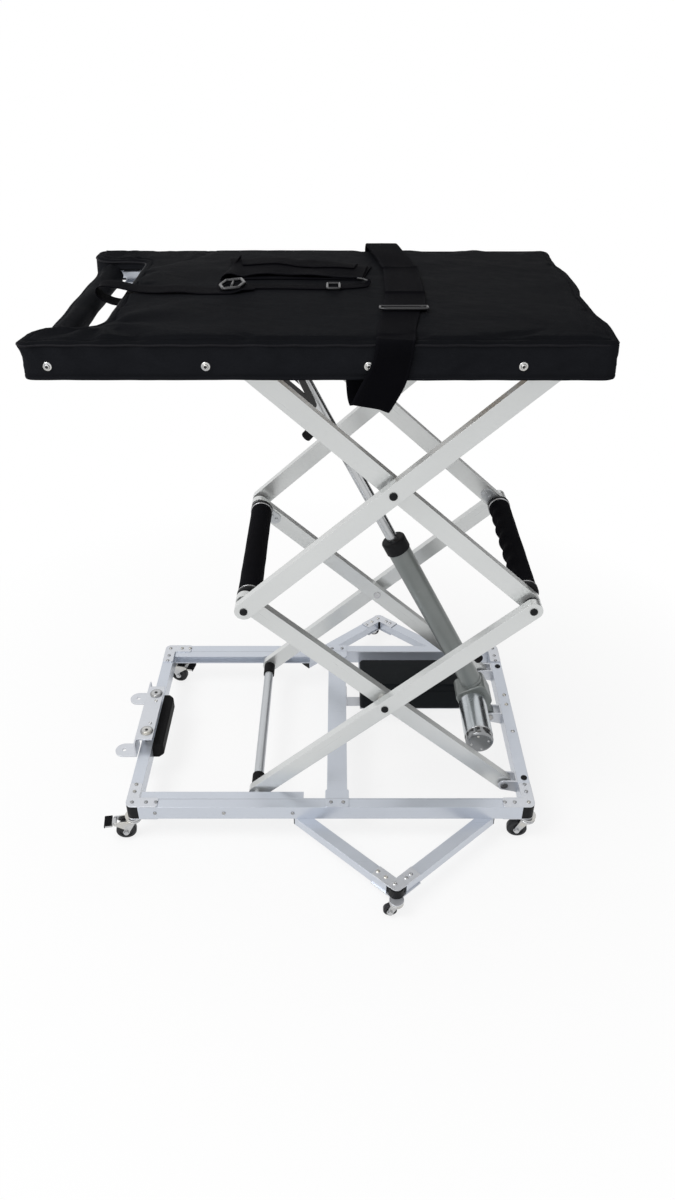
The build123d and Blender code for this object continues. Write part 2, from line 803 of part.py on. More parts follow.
def lift_yoke():
    """A cross tube between the upper inner arms, with two pierced plates that take the rod's end."""
    x, z = yoke_point(yoke_tube_place, yoke_tube_drop)
    yoke = rod_y(x, z, (-inner_arm_face, inner_arm_face), yoke_tube_radius)
    tip = yoke_point(rod_pin_place - yoke_reach, yoke_depth)
    heel = yoke_point(yoke_bolt_place + yoke_tube_radius, yoke_depth)
    shoulder = yoke_point(yoke_tube_place + yoke_tube_radius, yoke_bolt_drop)
    crown = yoke_point(yoke_tube_place + yoke_tube_radius, -yoke_plate_rim)
    eye = yoke_point(rod_pin_place, -yoke_plate_rim)
    corners = make_face(Polyline(tip, heel, shoulder, crown, eye, close=True)).vertices()
    outline = fillet(corners, yoke_plate_rim / 2)
    window = offset(outline, -yoke_plate_rim, kind=Kind.INTERSECTION)
    bars = [make_face(Polyline(
        yoke_point(place - yoke_plate_rim, yoke_depth), yoke_point(place, yoke_depth),
        yoke_point(place, -yoke_plate_rim), yoke_point(place - yoke_plate_rim, -yoke_plate_rim),
        close=True)) for place in (rod_pin_place, yoke_bolt_place + yoke_plate_rim / 2)]
    hub_x, hub_z = yoke_point(rod_pin_place, 0)
    hub = Pos(hub_x, hub_z) * Circle(rod_eye_radius)
    bolt_pad = Pos(*yoke_point(yoke_bolt_place, yoke_bolt_drop)) * Circle(rod_eye_radius)
    tube_pad = Pos(x, z) * Circle(yoke_tube_radius + yoke_tube_wall)
    ribs = [bar & outline for bar in bars]
    outline = (outline - window) + ribs + hub + bolt_pad + tube_pad
    for side in sides:
        low = actuator_y + min(side * yoke_plate_face, side * (yoke_plate_face + yoke_plate_thickness))
        plate = Pos(0, low + yoke_plate_thickness, 0) * Rot(X=90) * extrude(outline, yoke_plate_thickness)
        yoke += plate
        face = actuator_y + side * (yoke_plate_face + yoke_plate_thickness)
        span = tuple(sorted((face, face + side * pin_head_height)))
        yoke += rod_y(hub_x, hub_z, span, pin_head_radius)
        bolt_x, bolt_z = yoke_point(yoke_bolt_place, yoke_bolt_drop)
        yoke += rod_y(bolt_x, bolt_z, span, pin_radius)
    bore = (-inner_arm_face - overrun, inner_arm_face + overrun)
    return yoke - rod_y(x, z, bore, yoke_tube_radius - yoke_tube_wall)


def actuator_frame():
    """The place and tilt of the actuator: local Z runs from its lower pin to the rod's pin."""
    x, z = yoke_point(rod_pin_place, 0)
    lean = math.degrees(math.atan2(x - pivot_x, z - level_0))
    return Pos(pivot_x, actuator_y, level_0) * Rot(Y=lean)


def motor_axis(y):
    """A cylinder's place on the motor axis, square to the actuator."""
    return Pos(-motor_offset, y, motor_place) * Rot(X=90)


def gearbox():
    """The cast gear housing with its tail eye and the flange of the motor."""
    z = (gearbox_start, gearbox_start + gearbox_length)
    half = gearbox_width / 2
    case = block((-gearbox_left, gearbox_right), (-half, half), z)
    case = fillet(case.edges().filter_by(Axis.Y), gearbox_rounding * 2)
    case = fillet(case.faces().sort_by(Axis.Y)[0].edges(), gearbox_rounding / 3)
    tail_y = (-tail_width / 2, tail_width / 2)
    case += block((-tail_radius, tail_radius), tail_y, (0, tail_length))
    case += rod_y(0, 0, tail_y, tail_radius)
    case += rod_z(0, 0, (z[1], z[1] + gearbox_rounding), outer_tube_radius + gearbox_collar_step)
    flange = Cylinder(motor_radius - motor_flange_step, gearbox_rounding)
    case += motor_axis(-half - gearbox_rounding / 3) * flange
    case -= rod_y(0, 0, (-half, half), pin_radius + pin_clearance)
    return actuator_frame() * case


def motor():
    """The motor's round can, square to the actuator, with a rolled shoulder."""
    start = gearbox_width / 2 + gearbox_rounding - gearbox_rounding / 6
    can = motor_axis(-start - motor_length / 2) * Cylinder(motor_radius, motor_length)
    can = fillet(can.edges().sort_by(Axis.Y)[-1], gearbox_rounding / 3)
    return actuator_frame() * can


def motor_cap():
    """The black end cap of the motor, with a ring of vent slots."""
    start = gearbox_width / 2 + gearbox_rounding - gearbox_rounding / 6 + motor_length
    cap = Cylinder(motor_radius - motor_cap_step, motor_cap_length)
    cap = fillet(cap.faces().sort_by(Axis.Z)[-1].edges(), motor_cap_length / 3)
    for step in range(motor_vent_count):
        slot = Pos(motor_radius - motor_cap_step, 0, -motor_cap_length / 6)
        turn = Rot(Z=step * 360 / motor_vent_count)
        cap -= turn * slot * Box(2 * motor_vent_depth, motor_vent_width, motor_cap_length / 3)
    return actuator_frame() * (motor_axis(-start - motor_cap_length / 2) * cap)


def tube_z(z, radius, bore):
    """A round tube along the actuator's axis."""
    return rod_z(0, 0, z, radius) - rod_z(0, 0, (z[0] - overrun, z[1] + overrun), bore)


def actuator_tube():
    """The outer tube, from the gear housing to the collar."""
    start = gearbox_start + gearbox_length + gearbox_rounding
    bore = outer_tube_radius - outer_tube_wall
    return actuator_frame() * tube_z((start, outer_tube_end), outer_tube_radius, bore)


def actuator_collar():
    """The black collar that closes the tube round the rod."""
    z = (outer_tube_end, outer_tube_end + collar_length)
    collar = tube_z(z, collar_radius, rod_radius + pin_clearance)
    collar = fillet(collar.faces().sort_by(Axis.Z)[-1].edges().sort_by(SortBy.LENGTH)[-1], collar_length / 6)
    return actuator_frame() * collar


def actuator_rod():
    """The rod, with an eye at its end that sits between the yoke's plates."""
    rod = rod_z(0, 0, (rod_start, actuator_extended), rod_radius)
    half = rod_eye_width / 2
    rod -= block((-rod_eye_radius, rod_eye_radius), (half, rod_eye_radius),
                 (actuator_extended - rod_eye_radius, actuator_extended + overrun))
    rod -= block((-rod_eye_radius, rod_eye_radius), (-rod_eye_radius, -half),
                 (actuator_extended - rod_eye_radius, actuator_extended + overrun))
    rod += rod_y(0, actuator_extended, (-half, half), rod_eye_radius)
    reach = yoke_plate_face - spacer_gap
    rod += rod_y(0, actuator_extended, (-reach, reach), pin_head_radius)
    return actuator_frame() * rod


def actuator_clevis():
    """The bracket of the actuator's tail on the right end rail."""
    return clevis(actuator_y, actuator_clevis_gap, pivot_x, level_0)


# Castors

def castor_places():
    """Name, place, heading of the trail in degrees, and size of each castor."""
    low_x, high_x = base_x - castor_x, base_x + castor_x
    wing_y = wing_apex_y + wing_foot_reach
    wing_x = base_x + wing_apex_x
    return [
        ("front_left", low_x, -castor_y, 188, "large"),
        ("rear_left", low_x, castor_y, -12, "large"),
        ("front_right", high_x, -castor_y, 172, "large"),
        ("rear_right", high_x, castor_y, 186, "large"),
        ("front_wing", wing_x, -wing_y, 180, "small"),
        ("rear_wing", wing_x, wing_y, 180, "small"),
    ]


def castor_sizes(size):
    """The sizes of one kind of castor, and the height of the plate that it hangs from."""
    if size == "large":
        hang = rail_bottom - plate_thickness
        return wheel_radius, wheel_width, castor_trail, race_radius, race_height, hang
    return (small_wheel_radius, small_wheel_width, small_castor_trail, small_race_radius,
            small_race_height, wing_rise - plate_thickness)


def castor_mounts():
    """The fixed upper race and kingpin of each castor."""
    mounts = []
    for _, x, y, _, size in castor_places():
        radius, width, trail, race, height, hang = castor_sizes(size)
        cup = rod_z(x, y, (hang - height, hang), race)
        cup = chamfer(cup.faces().sort_by(Axis.Z)[0].edges(), height / 3)
        low = hang - height - castor_gap - fork_dish
        cup += rod_z(x, y, (low - castor_gap, hang - height), kingpin_radius)
        washer = width / 2 + washer_gap
        cup += rod_z(x, y, (low - castor_gap - fork_wall, low - castor_gap), washer)
        mounts.append(cup)
    return mounts


def pedal_pin(size):
    """The place of the brake pedal's pin, along the trail and up."""
    radius, _, trail, _, height, hang = castor_sizes(size)
    ears = hang - height - castor_gap - fork_dish - pedal_pin_radius
    return trail + radius - pedal_pin_inset, ears


def castor_fork(x, y, heading, size, braked):
    """A pressed fork: a dish under the race, and two cheeks down to the wheel's axle."""
    radius, width, trail, race, height, hang = castor_sizes(size)
    top = hang - height - castor_gap
    fork = rod_z(0, 0, (top - fork_dish, top), race - castor_gap)
    fork = fillet(fork.faces().sort_by(Axis.Z)[-1].edges(), fork_dish / 2)
    fork -= rod_z(0, 0, (top - fork_dish - overrun, top + overrun), kingpin_radius + pin_clearance)
    inner = width / 2 + fork_side_gap
    chord = math.sqrt((race - castor_gap) ** 2 - (inner + fork_wall) ** 2)
    eye = 2 * wheel_axle_radius
    shape = make_face(Polyline(
        (-chord / 2, top - fork_dish / 2), (chord, top - fork_dish / 2),
        (trail + eye, radius), (trail - eye, radius), close=True))
    shape += Pos(trail, radius) * Circle(eye)
    if braked:
        pin_x, pin_z = pedal_pin(size)
        shape += make_face(Polyline(
            (0, top - fork_dish / 2), (pin_x, pin_z + pedal_ear_radius),
            (pin_x, pin_z - pedal_ear_radius), (trail, radius + eye), close=True))
        shape += Pos(pin_x, pin_z) * Circle(pedal_ear_radius)
        shape -= Pos(pin_x, pin_z) * Circle(pedal_pin_radius + pin_clearance)
    for side in sides:
        low = min(side * inner, side * (inner + fork_wall))
        fork += Pos(0, low + fork_wall, 0) * Rot(X=90) * extrude(shape, fork_wall)
        nut = spread(inner + fork_wall, inner + fork_wall + castor_nut_height, side)
        fork += rod_y(trail, radius, nut, castor_nut_radius)
    fork += rod_y(trail, radius, (-inner, inner), wheel_axle_radius)
    return Pos(x, y, 0) * Rot(Z=heading) * fork


def castor_wheel(x, y, heading, size):
    """A wheel with a rounded tread and a recessed hub on each face."""
    radius, width, trail, _, _, _ = castor_sizes(size)
    wheel = rod_y(trail, radius, (-width / 2, width / 2), radius)
    wheel = fillet(wheel.edges().filter_by(GeomType.CIRCLE), wheel_rounding * radius / wheel_radius)
    for side in sides:
        face = side * width / 2
        span = tuple(sorted((face - side * hub_recess, face + side * overrun)))
        wheel -= tube_y(trail, radius, span, radius / 1.5, 2 * wheel_axle_radius)
    wheel -= rod_y(trail, radius, (-width, width), wheel_axle_radius + pin_clearance)
    return Pos(x, y, 0) * Rot(Z=heading) * wheel


def brake_pedal(x, y, heading, size):
    """The foot pedal of a braked castor, hung on a pin between the fork's ears."""
    _, width, _, _, _, _ = castor_sizes(size)
    pin_x, pin_z = pedal_pin(size)
    half = pedal_width / 2
    z = (pin_z - pedal_thickness, pin_z + pedal_thickness)
    start = pin_x + pedal_swing_gap
    tread = block((start, start + pedal_length), (-half, half), z)
    tread = fillet(tread.edges().filter_by(Axis.Z), pedal_thickness)
    neck = width / 2
    pedal = tread + block((pin_x, start + pedal_thickness), (-neck, neck), z)
    reach = width / 2 + fork_side_gap + fork_wall + washer_gap
    pedal += rod_y(pin_x, pin_z, (-reach, reach), pedal_pin_radius)
    return Pos(x, y, 0) * Rot(Z=heading) * pedal


# Platform

def platform_frame():
    """Two long rails, the right end rail, three flat cross bars and the grab bar's tube."""
    z = (frame_top - platform_rail_height, frame_top)
    left = platform_low_x + cover_inset
    right = platform_high_x - cover_inset
    bars = []
    for side in sides:
        span = spread(platform_rail_face, platform_rail_face + platform_rail_width, side)
        long_x = (left + corner_radius, right - corner_radius)
        bars.append(box_tube_x(long_x, span, z, platform_rail_wall))
    cross = (-platform_rail_face, platform_rail_face)
    bars.append(box_tube_y((right - platform_rail_width, right), cross, z, platform_rail_wall))
    bar_z = (frame_top - platform_bar_height, frame_top)
    for share in platform_bar_shares:
        x = left + share * (right - left)
        bars.append(box_tube_y((x, x + platform_bar_width), cross, bar_z, platform_rail_wall))
    middle = frame_top - platform_rail_height / 2
    bars.append(tube_y(grab_bar_x, middle, cross, grab_bar_radius, grab_bar_radius - platform_rail_wall))
    return bars


def grab_bar_foam():
    """The foam sleeve of the grab bar, plain here."""
    middle = frame_top - platform_rail_height / 2
    end = notch_half_width + overrun
    return tube_y(grab_bar_x, middle, (-end, end), grab_foam_radius, grab_bar_radius + grip_gap)


def deck_board():
    """The board under the cover, from the grab opening to the right end."""
    x = (notch_x + cover_inset, platform_high_x - cover_inset)
    half = platform_width / 2 - cover_inset
    board = block(x, (-half, half), (frame_top, deck_top))
    corners = board.faces().sort_by(Axis.X)[-1].edges().filter_by(Axis.Z)
    return fillet(corners, corner_radius)


def platform_pivots():
    """The bored blocks on the platform's rails that hold the fixed upper axle."""
    parts = []
    for side in sides:
        y = spread(outer_arm_face + arm_thickness + clevis_gap / 2, platform_rail_face, side)
        x = (pivot_x - pivot_block_length / 2, pivot_x + pivot_block_length / 2)
        z = (level_2 - pivot_block_length / 2 + pin_radius, frame_top)
        piece = fillet(block(x, y, z).edges().filter_by(Axis.Y), pin_radius)
        longer = (y[0] - overrun, y[1] + overrun)
        parts.append(piece - rod_y(pivot_x, level_2, longer, axle_radius + pin_clearance))
    return parts


def cover_outline(inset):
    """The cover's plan, with the notch for the grab bar, drawn in by an inset."""
    width = platform_width - 2 * inset
    length = platform_length - 2 * inset
    plan = Pos(platform_x, 0) * RectangleRounded(length, width, corner_radius)
    notch = 2 * (notch_half_width + inset)
    plan -= Pos(platform_low_x, 0) * Rectangle(2 * (notch_depth + inset), notch)
    return plan


def platform_cover():
    """The fabric cover: a top sheet with a skirt all round and a notch at the grab bar."""
    top = extrude(Pos(0, 0, skirt_bottom) * cover_outline(0), skirt_height)
    top = fillet(top.faces().sort_by(Axis.Z)[-1].edges(), cover_edge_radius / 3)
    depth = deck_top + cover_gap - skirt_bottom + overrun
    inner = extrude(Pos(0, 0, skirt_bottom - overrun) * cover_outline(cover_thickness), depth)
    cover = top - inner
    middle = frame_top - platform_rail_height / 2
    reach = (-platform_width / 2 + cover_inset, platform_width / 2 - cover_inset)
    cover -= rod_y(grab_bar_x, middle, reach, grab_foam_radius + cover_gap)
    half = notch_half_width + 2 * cover_thickness
    under = (skirt_bottom - overrun, platform_top - notch_lip)
    return cover - block((notch_x - notch_axle_relief, notch_x + 2 * cover_thickness), (-half, half), under)


def ribbon(points, thickness, radius):
    """The outline of a strap of even thickness that follows a line of points."""
    return trace(FilletPolyline(*points, radius=radius), thickness)


def lashing_strap():
    """The wide strap across the cover: a slack loop below the front skirt and a fold at the rear edge."""
    out = strap_gap + strap_thickness / 2
    side = platform_width / 2 + out
    over = platform_top + out
    low = skirt_bottom - lashing_hang
    tuck = frame_top - platform_rail_height - out
    inner = platform_width / 2 - lashing_return
    rear_low = skirt_bottom - lashing_rear_drop
    bump = platform_top + lashing_bump_height
    bump_start = side - lashing_bump_width
    path = [
        (-inner, tuck), (-inner - lashing_slant / 4, low), (-side - lashing_slant, low),
        (-side, skirt_bottom), (-side, over), (bump_start, over), (side - lashing_bump_width / 2, bump),
        (side, bump - lashing_bump_shoulder), (side, rear_low), (inner, rear_low), (inner, tuck),
    ]
    band = extrude(ribbon(path, strap_thickness, strap_thickness), lashing_width)
    return Pos(base_x + lashing_x - lashing_width / 2, 0, 0) * Rot(Z=90) * Rot(X=90) * band


def shoulder_strap():
    """The carrying strap: a slack loop in the grab opening, a narrow run, and a wide folded band."""
    over = platform_top + strap_gap
    z = (over, over + strap_thickness)
    narrow_y = (shoulder_y - shoulder_width / 2, shoulder_y + shoulder_width / 2)
    wide_y = (shoulder_wide_y - shoulder_wide_width / 2, shoulder_wide_y + shoulder_wide_width / 2)
    join_x = base_x + shoulder_wide_start
    end_x = base_x + lashing_x - lashing_width / 2 - strap_gap
    mid = strap_thickness / 2
    under = frame_top - 2 * strap_gap - mid
    loop_x = notch_x - shoulder_loop_reach
    path = [
        (notch_x + shoulder_loop_tail, under), (notch_x - cable_radius, under),
        (loop_x, (under + over + shoulder_loop_rise) / 2),
        (loop_x + shoulder_loop_rise, over + shoulder_loop_rise),
        (notch_x + shoulder_loop_rise, over + mid), (join_x + shoulder_width, over + mid),
    ]
    run = Rot(X=90) * extrude(ribbon(path, strap_thickness, shoulder_loop_bend), shoulder_width)
    strap = Pos(0, narrow_y[1], 0) * run
    strap += block((join_x, join_x + shoulder_width), (narrow_y[0], wide_y[1]), z)
    return strap + block((join_x, end_x), wide_y, z)


def motor_cable():
    """The lead from the control box's gland to a strain relief at the actuator's lower pin."""
    start_x = base_x + box_x_end + gland_length
    lead_y = box_y_start + 2 * box_rounding
    lead_z = rail_bottom + 2 * box_rounding
    end_y = actuator_y + actuator_clevis_gap / 2 + clevis_wall
    route = FilletPolyline(
        (start_x, lead_y, lead_z), (pivot_x, lead_y, lead_z), (pivot_x, end_y + relief_length / 2, lead_z),
        radius=cable_bend)
    cable = sweep(Plane(route @ 0, z_dir=route % 0) * Circle(cable_radius), path=route)
    return cable + rod_y(pivot_x, lead_z, (end_y, end_y + relief_length), relief_radius)


def main():
    """Build every node and write it."""
    os.makedirs("parts", exist_ok=True)
    slide_bore = axle_radius
    plain_bore = pin_radius
    free_bore = pin_radius + pin_clearance
    axle_bore = axle_radius
    write("base_rails", base_rails())
    write("frame_blocks", frame_blocks())
    write("frame_plates", frame_plates())
    track_x = (base_x + track_start, base_x + track_end)
    write("base_tracks", [track(side, track_x, level_0, rail_inner_y) for side in sides])
    write("arm_clevises", arm_clevises())
    write("actuator_clevis", actuator_clevis())
    write("base_fasteners", base_fasteners())
    write("wing_tubes", wing_tubes())
    write("hitch_bracket", hitch_bracket())
    write("hitch_bumper", hitch_bumper())
    write("control_box", control_box())
    write("control_box_tray", control_box_tray())
    write("castor_mounts", castor_mounts())

    write("lower_inner_arms", pair_of_arms(
        pivot_x, level_0, -1, inner_arm_face,
        [(0, free_bore), (half_pitch, plain_bore), (arm_pitch, plain_bore)]))
    write("lower_outer_arms", pair_of_arms(
        slide_x, level_0, 1, outer_arm_face,
        [(0, slide_bore), (half_pitch, free_bore), (arm_pitch, free_bore)]))
    write("upper_outer_arms", pair_of_arms(
        slide_x, level_1, 1, outer_arm_face,
        [(0, free_bore), (half_pitch, free_bore), (arm_pitch, axle_bore)]))
    write("upper_inner_arms", pair_of_arms(
        pivot_x, level_1, -1, inner_arm_face,
        [(0, plain_bore), (half_pitch, plain_bore), (arm_pitch, axle_bore)]))
    middle_x = (slide_x + pivot_x) / 2
    write("lower_pivot_pins", pivot_pins([(middle_x, (level_0 + level_1) / 2), (slide_x, level_1)]))
    write("upper_pivot_pins", pivot_pins([(middle_x, (level_1 + level_2) / 2), (pivot_x, level_1)]))
    write("left_handle", handle(slide_x, level_1, 2))
    write("right_handle", handle(pivot_x, level_1, -1))
    write("left_grip", grip(slide_x, level_1, 2))
    write("right_grip", grip(pivot_x, level_1, -1))
    write("slider_axle", slider_axle())
    write("lower_rubber_parts", lower_rubber_parts())
    stops = [bumper(pivot_x, level_1, -1, upper_bumper_place, inner_arm_face, side) for side in sides]
    write("upper_bumpers", stops)
    write("upper_slider_axle", top_axle(slide_x, (inner_arm_face, rail_inner_y - track_wall - roller_gap)))
    write("upper_fixed_axle", top_axle(pivot_x, (outer_arm_face, platform_rail_face - spacer_gap)))
    write("lower_rollers", rollers(level_0))
    write("upper_rollers", rollers(level_2))
    write("lift_yoke", lift_yoke())

    write("gearbox", gearbox())
    write("motor", motor())
    write("motor_cap", motor_cap())
    write("actuator_tube", actuator_tube())
    write("actuator_collar", actuator_collar())
    write("actuator_rod", actuator_rod())
    write("motor_cable", motor_cable())

    write("platform_frame", platform_frame())
    write("grab_bar_foam", grab_bar_foam())
    write("deck_board", deck_board())
    platform_track_x = (platform_low_x + platform_track_inset, base_x + track_end)
    write("platform_tracks", [track(side, platform_track_x, level_2, platform_rail_face) for side in sides])
    write("platform_pivots", platform_pivots())
    write("platform_cover", platform_cover())
    write("lashing_strap", lashing_strap())
    write("shoulder_strap", shoulder_strap())

    for name, x, y, heading, size in castor_places():
        braked = name.endswith("left")
        write(f"{name}_fork", castor_fork(x, y, heading, size, braked))
        write(f"{name}_wheel", castor_wheel(x, y, heading, size))
        if braked:
            write(f"{name}_pedal", brake_pedal(x, y, heading, size))


main()
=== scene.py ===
"""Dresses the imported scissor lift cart: finishes for metal and plastic, and the cover, straps and grips."""

import logging
import math
from dataclasses import dataclass, field
from enum import Enum
from typing import Callable, Dict, List, Optional, Sequence, Tuple, Union

import bpy
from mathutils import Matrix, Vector, geometry, noise
from mathutils.bvhtree import BVHTree


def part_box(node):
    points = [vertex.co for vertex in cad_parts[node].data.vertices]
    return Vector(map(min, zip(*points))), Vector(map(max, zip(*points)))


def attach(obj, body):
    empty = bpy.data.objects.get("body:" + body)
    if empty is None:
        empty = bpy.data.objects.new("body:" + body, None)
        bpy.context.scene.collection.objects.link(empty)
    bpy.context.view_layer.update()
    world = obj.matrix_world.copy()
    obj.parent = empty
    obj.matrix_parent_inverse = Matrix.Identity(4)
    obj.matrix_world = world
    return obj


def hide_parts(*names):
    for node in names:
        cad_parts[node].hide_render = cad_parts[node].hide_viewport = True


log = logging.getLogger("lift_cart")
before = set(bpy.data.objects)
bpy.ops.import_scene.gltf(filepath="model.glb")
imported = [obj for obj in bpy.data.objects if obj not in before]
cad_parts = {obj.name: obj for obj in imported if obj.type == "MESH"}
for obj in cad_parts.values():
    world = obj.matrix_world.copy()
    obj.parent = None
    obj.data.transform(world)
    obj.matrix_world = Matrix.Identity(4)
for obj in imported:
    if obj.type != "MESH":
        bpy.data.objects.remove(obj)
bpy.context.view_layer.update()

Colour = Tuple[float, float, float]
Point = Tuple[float, float, float]
Profile = Sequence[Tuple[float, float]]
Rows = Sequence[Sequence[float]]
Operand = Union["Value", float]
Given = Union["Value", bpy.types.NodeSocket, float, Tuple[float, ...]]
FULL_TURN = 2.0 * math.pi
WHITE = (1.0, 1.0, 1.0, 1.0)


# Shaders


@dataclass(frozen=True)
class Value:
    """A number that runs through a shader; arithmetic on it adds Math nodes."""

    graph: "NodeGraph"
    socket: bpy.types.NodeSocket

    def _join(self, operation: str, first: Operand, second: Operand = 0.0) -> "Value":
        """Add one Math node and return its result."""
        made = self.graph.node("ShaderNodeMath", {"operation": operation}, {0: first, 1: second})
        return Value(self.graph, made.outputs[0])

    def __add__(self, other: Operand) -> "Value":
        """Sum."""
        return self._join("ADD", self, other)

    def __radd__(self, other: Operand) -> "Value":
        """Sum, reflected."""
        return self._join("ADD", other, self)

    def __sub__(self, other: Operand) -> "Value":
        """Difference."""
        return self._join("SUBTRACT", self, other)

    def __rsub__(self, other: Operand) -> "Value":
        """Difference, reflected."""
        return self._join("SUBTRACT", other, self)

    def __mul__(self, other: Operand) -> "Value":
        """Product."""
        return self._join("MULTIPLY", self, other)

    def __rmul__(self, other: Operand) -> "Value":
        """Product, reflected."""
        return self._join("MULTIPLY", other, self)

    def __truediv__(self, other: Operand) -> "Value":
        """Quotient."""
        return self._join("DIVIDE", self, other)

    def __rtruediv__(self, other: Operand) -> "Value":
        """Quotient, reflected."""
        return self._join("DIVIDE", other, self)

    def __pow__(self, other: Operand) -> "Value":
        """Power."""
        return self._join("POWER", self, other)

    def __rpow__(self, other: Operand) -> "Value":
        """Power, reflected."""
        return self._join("POWER", other, self)

    def __abs__(self) -> "Value":
        """Absolute value."""
        return self._join("ABSOLUTE", self)

    def wave(self) -> "Value":
        """The value's sine, moved to run from 0 to 1."""
        return self._join("SINE", self) * 0.5 + 0.5

    def clamp(self) -> "Value":
        """The value held between 0 and 1."""
        return self._join("MINIMUM", self._join("MAXIMUM", self, 0.0), 1.0)

    def above(self, edge: float, soft: float) -> "Value":
        """A mask that rises from 0 to 1 across an edge, over a soft width."""
        return ((self - edge) * (1.0 / soft) + 0.5).clamp()


class NodeGraph:
    """A node tree that is being filled."""

    def __init__(self, tree: bpy.types.NodeTree) -> None:
        """Take a tree and empty it."""
        self.tree = tree
        self.tree.nodes.clear()

    def plug(self, slot: bpy.types.NodeSocket, given: Given) -> None:
        """Set or link one input.

        Args:
            slot: the input.
            given: a number, a tuple, a Value or a socket.
        """
        source = given.socket if isinstance(given, Value) else given
        if isinstance(source, bpy.types.NodeSocket):
            self.tree.links.new(source, slot)
        else:
            slot.default_value = source

    def node(self, kind: str, settings: Optional[Dict[str, object]] = None,
             inputs: Optional[Dict[Union[str, int], Given]] = None) -> bpy.types.Node:
        """Add a node.

        Args:
            kind: the node's type name.
            settings: its properties, which are set before its sockets.
            inputs: what each named or numbered input is given.

        Returns:
            The new node.
        """
        made = self.tree.nodes.new(kind)
        for key, setting in (settings or {}).items():
            setattr(made, key, setting)
        for key, given in (inputs or {}).items():
            self.plug(made.inputs[key], given)
        return made

    def parts(self, vector: bpy.types.NodeSocket) -> Tuple[Value, Value, Value]:
        """Split a vector into its three numbers."""
        split = self.node("ShaderNodeSeparateXYZ", inputs={0: vector})
        return tuple(Value(self, out) for out in split.outputs)

    def ray(self, *kinds: str) -> Value:
        """A mask of some kinds of ray.

        Args:
            kinds: the kinds, named as on the Light Path node without Is and Ray.

        Returns:
            1 for those rays and 0 for the others.
        """
        rays = self.node("ShaderNodeLightPath")
        masks = [Value(self, rays.outputs[f"Is {kind} Ray"]) for kind in kinds]
        return sum(masks[1:], masks[0]).clamp()


class Shader(NodeGraph):
    """One material's node tree, built round a Principled surface."""

    def __init__(self, name: str) -> None:
        """Start a material with a surface and its output.

        Args:
            name: the material's name.
        """
        self.material = bpy.data.materials.new(name)
        self.material.use_nodes = True
        super().__init__(self.material.node_tree)
        self.surface = self.node("ShaderNodeBsdfPrincipled")
        self.output = self.node("ShaderNodeOutputMaterial", inputs={"Surface": self.surface.outputs["BSDF"]})

    def place(self, stretch: Point = (1.0, 1.0, 1.0), turn: Point = (0.0, 0.0, 0.0)) -> bpy.types.NodeSocket:
        """Object coordinates in metres.

        Args:
            stretch: scales them last, along each axis.
            turn: turns them first, in radians about each axis.

        Returns:
            The coordinates.
        """
        source = self.node("ShaderNodeTexCoord").outputs["Object"]
        turned_way = self.node("ShaderNodeMapping", inputs={"Vector": source, "Rotation": turn}).outputs[0]
        return self.node("ShaderNodeMapping", inputs={"Vector": turned_way, "Scale": stretch}).outputs[0]

    def noise(self, where: bpy.types.NodeSocket, scale: float, detail: float = 3.0,
              rough: float = 0.55) -> Value:
        """Fractal noise.

        Args:
            where: the coordinates.
            scale: how many patches fit in a metre.
            detail: how many finer layers it has.
            rough: how strong they are.

        Returns:
            The noise, from 0 to 1.
        """
        made = self.node("ShaderNodeTexNoise", inputs={
            "Vector": where, "Scale": scale, "Detail": detail, "Roughness": rough})
        return Value(self, made.outputs[0])

    def cells(self, where: bpy.types.NodeSocket, scale: float) -> Value:
        """A cell pattern: the distance to the nearest point, with so many points in a metre."""
        made = self.node("ShaderNodeTexVoronoi", inputs={"Vector": where, "Scale": scale})
        return Value(self, made.outputs["Distance"])

    def tint(self, factor: Value, low: Union[Colour, bpy.types.NodeSocket],
             high: Colour) -> bpy.types.NodeSocket:
        """A colour between two.

        Args:
            factor: how much of the second colour there is, from 0 to 1.
            low: the first colour, plain or from another node.
            high: the second colour.

        Returns:
            The mixed colour.
        """
        first = (*low, 1.0) if isinstance(low, tuple) else low
        made = self.node("ShaderNodeMix", {"data_type": "RGBA"}, {0: factor, 6: first, 7: (*high, 1.0)})
        return made.outputs[2]

    def relief(self, height: Value, depth: float, strength: float = 1.0,
               round_edges: float = 0.0) -> bpy.types.NodeSocket:
        """A bumped normal.

        Args:
            height: the relief, from 0 to 1.
            depth: its depth in metres.
            strength: how much of it shows.
            round_edges: a radius in metres by which hard edges catch the light, or 0.

        Returns:
            The normal for the surface.
        """
        inputs: Dict[Union[str, int], Given] = {"Height": height, "Distance": depth, "Strength": strength}
        if round_edges:
            rounded = self.node("ShaderNodeBevel", {"samples": 8}, {"Radius": round_edges})
            inputs["Normal"] = rounded.outputs[0]
        return self.node("ShaderNodeBump", inputs=inputs).outputs[0]

    def feed(self, **given: Given) -> None:
        """Set or link the surface's inputs, named with underscores for spaces."""
        for key, thing in given.items():
            self.plug(self.surface.inputs[key.replace("_", " ")], thing)


class Grain(Enum):
    """The way a profile was drawn, as a turn that lays it along X."""

    ALONG = (0.0, 0.0, 0.0)
    ACROSS = (0.0, 0.0, math.radians(-90))
    RISING_LEFT = (0.0, math.radians(-41.8), 0.0)
    RISING_RIGHT = (0.0, math.radians(41.8), 0.0)
    ACTUATOR = (0.0, math.radians(-62.9), 0.0)


@dataclass(frozen=True)
class Finish:
    """A finish with a name, which builds one material."""

    name: str

    def build(self) -> bpy.types.Material:
        """Build the material.

        Returns:
            The material.
        """
        shader = Shader(self.name)
        self.dress(shader)
        return shader.material

    def dress(self, shader: Shader) -> None:
        """Fill the shader's surface."""
        raise NotImplementedError


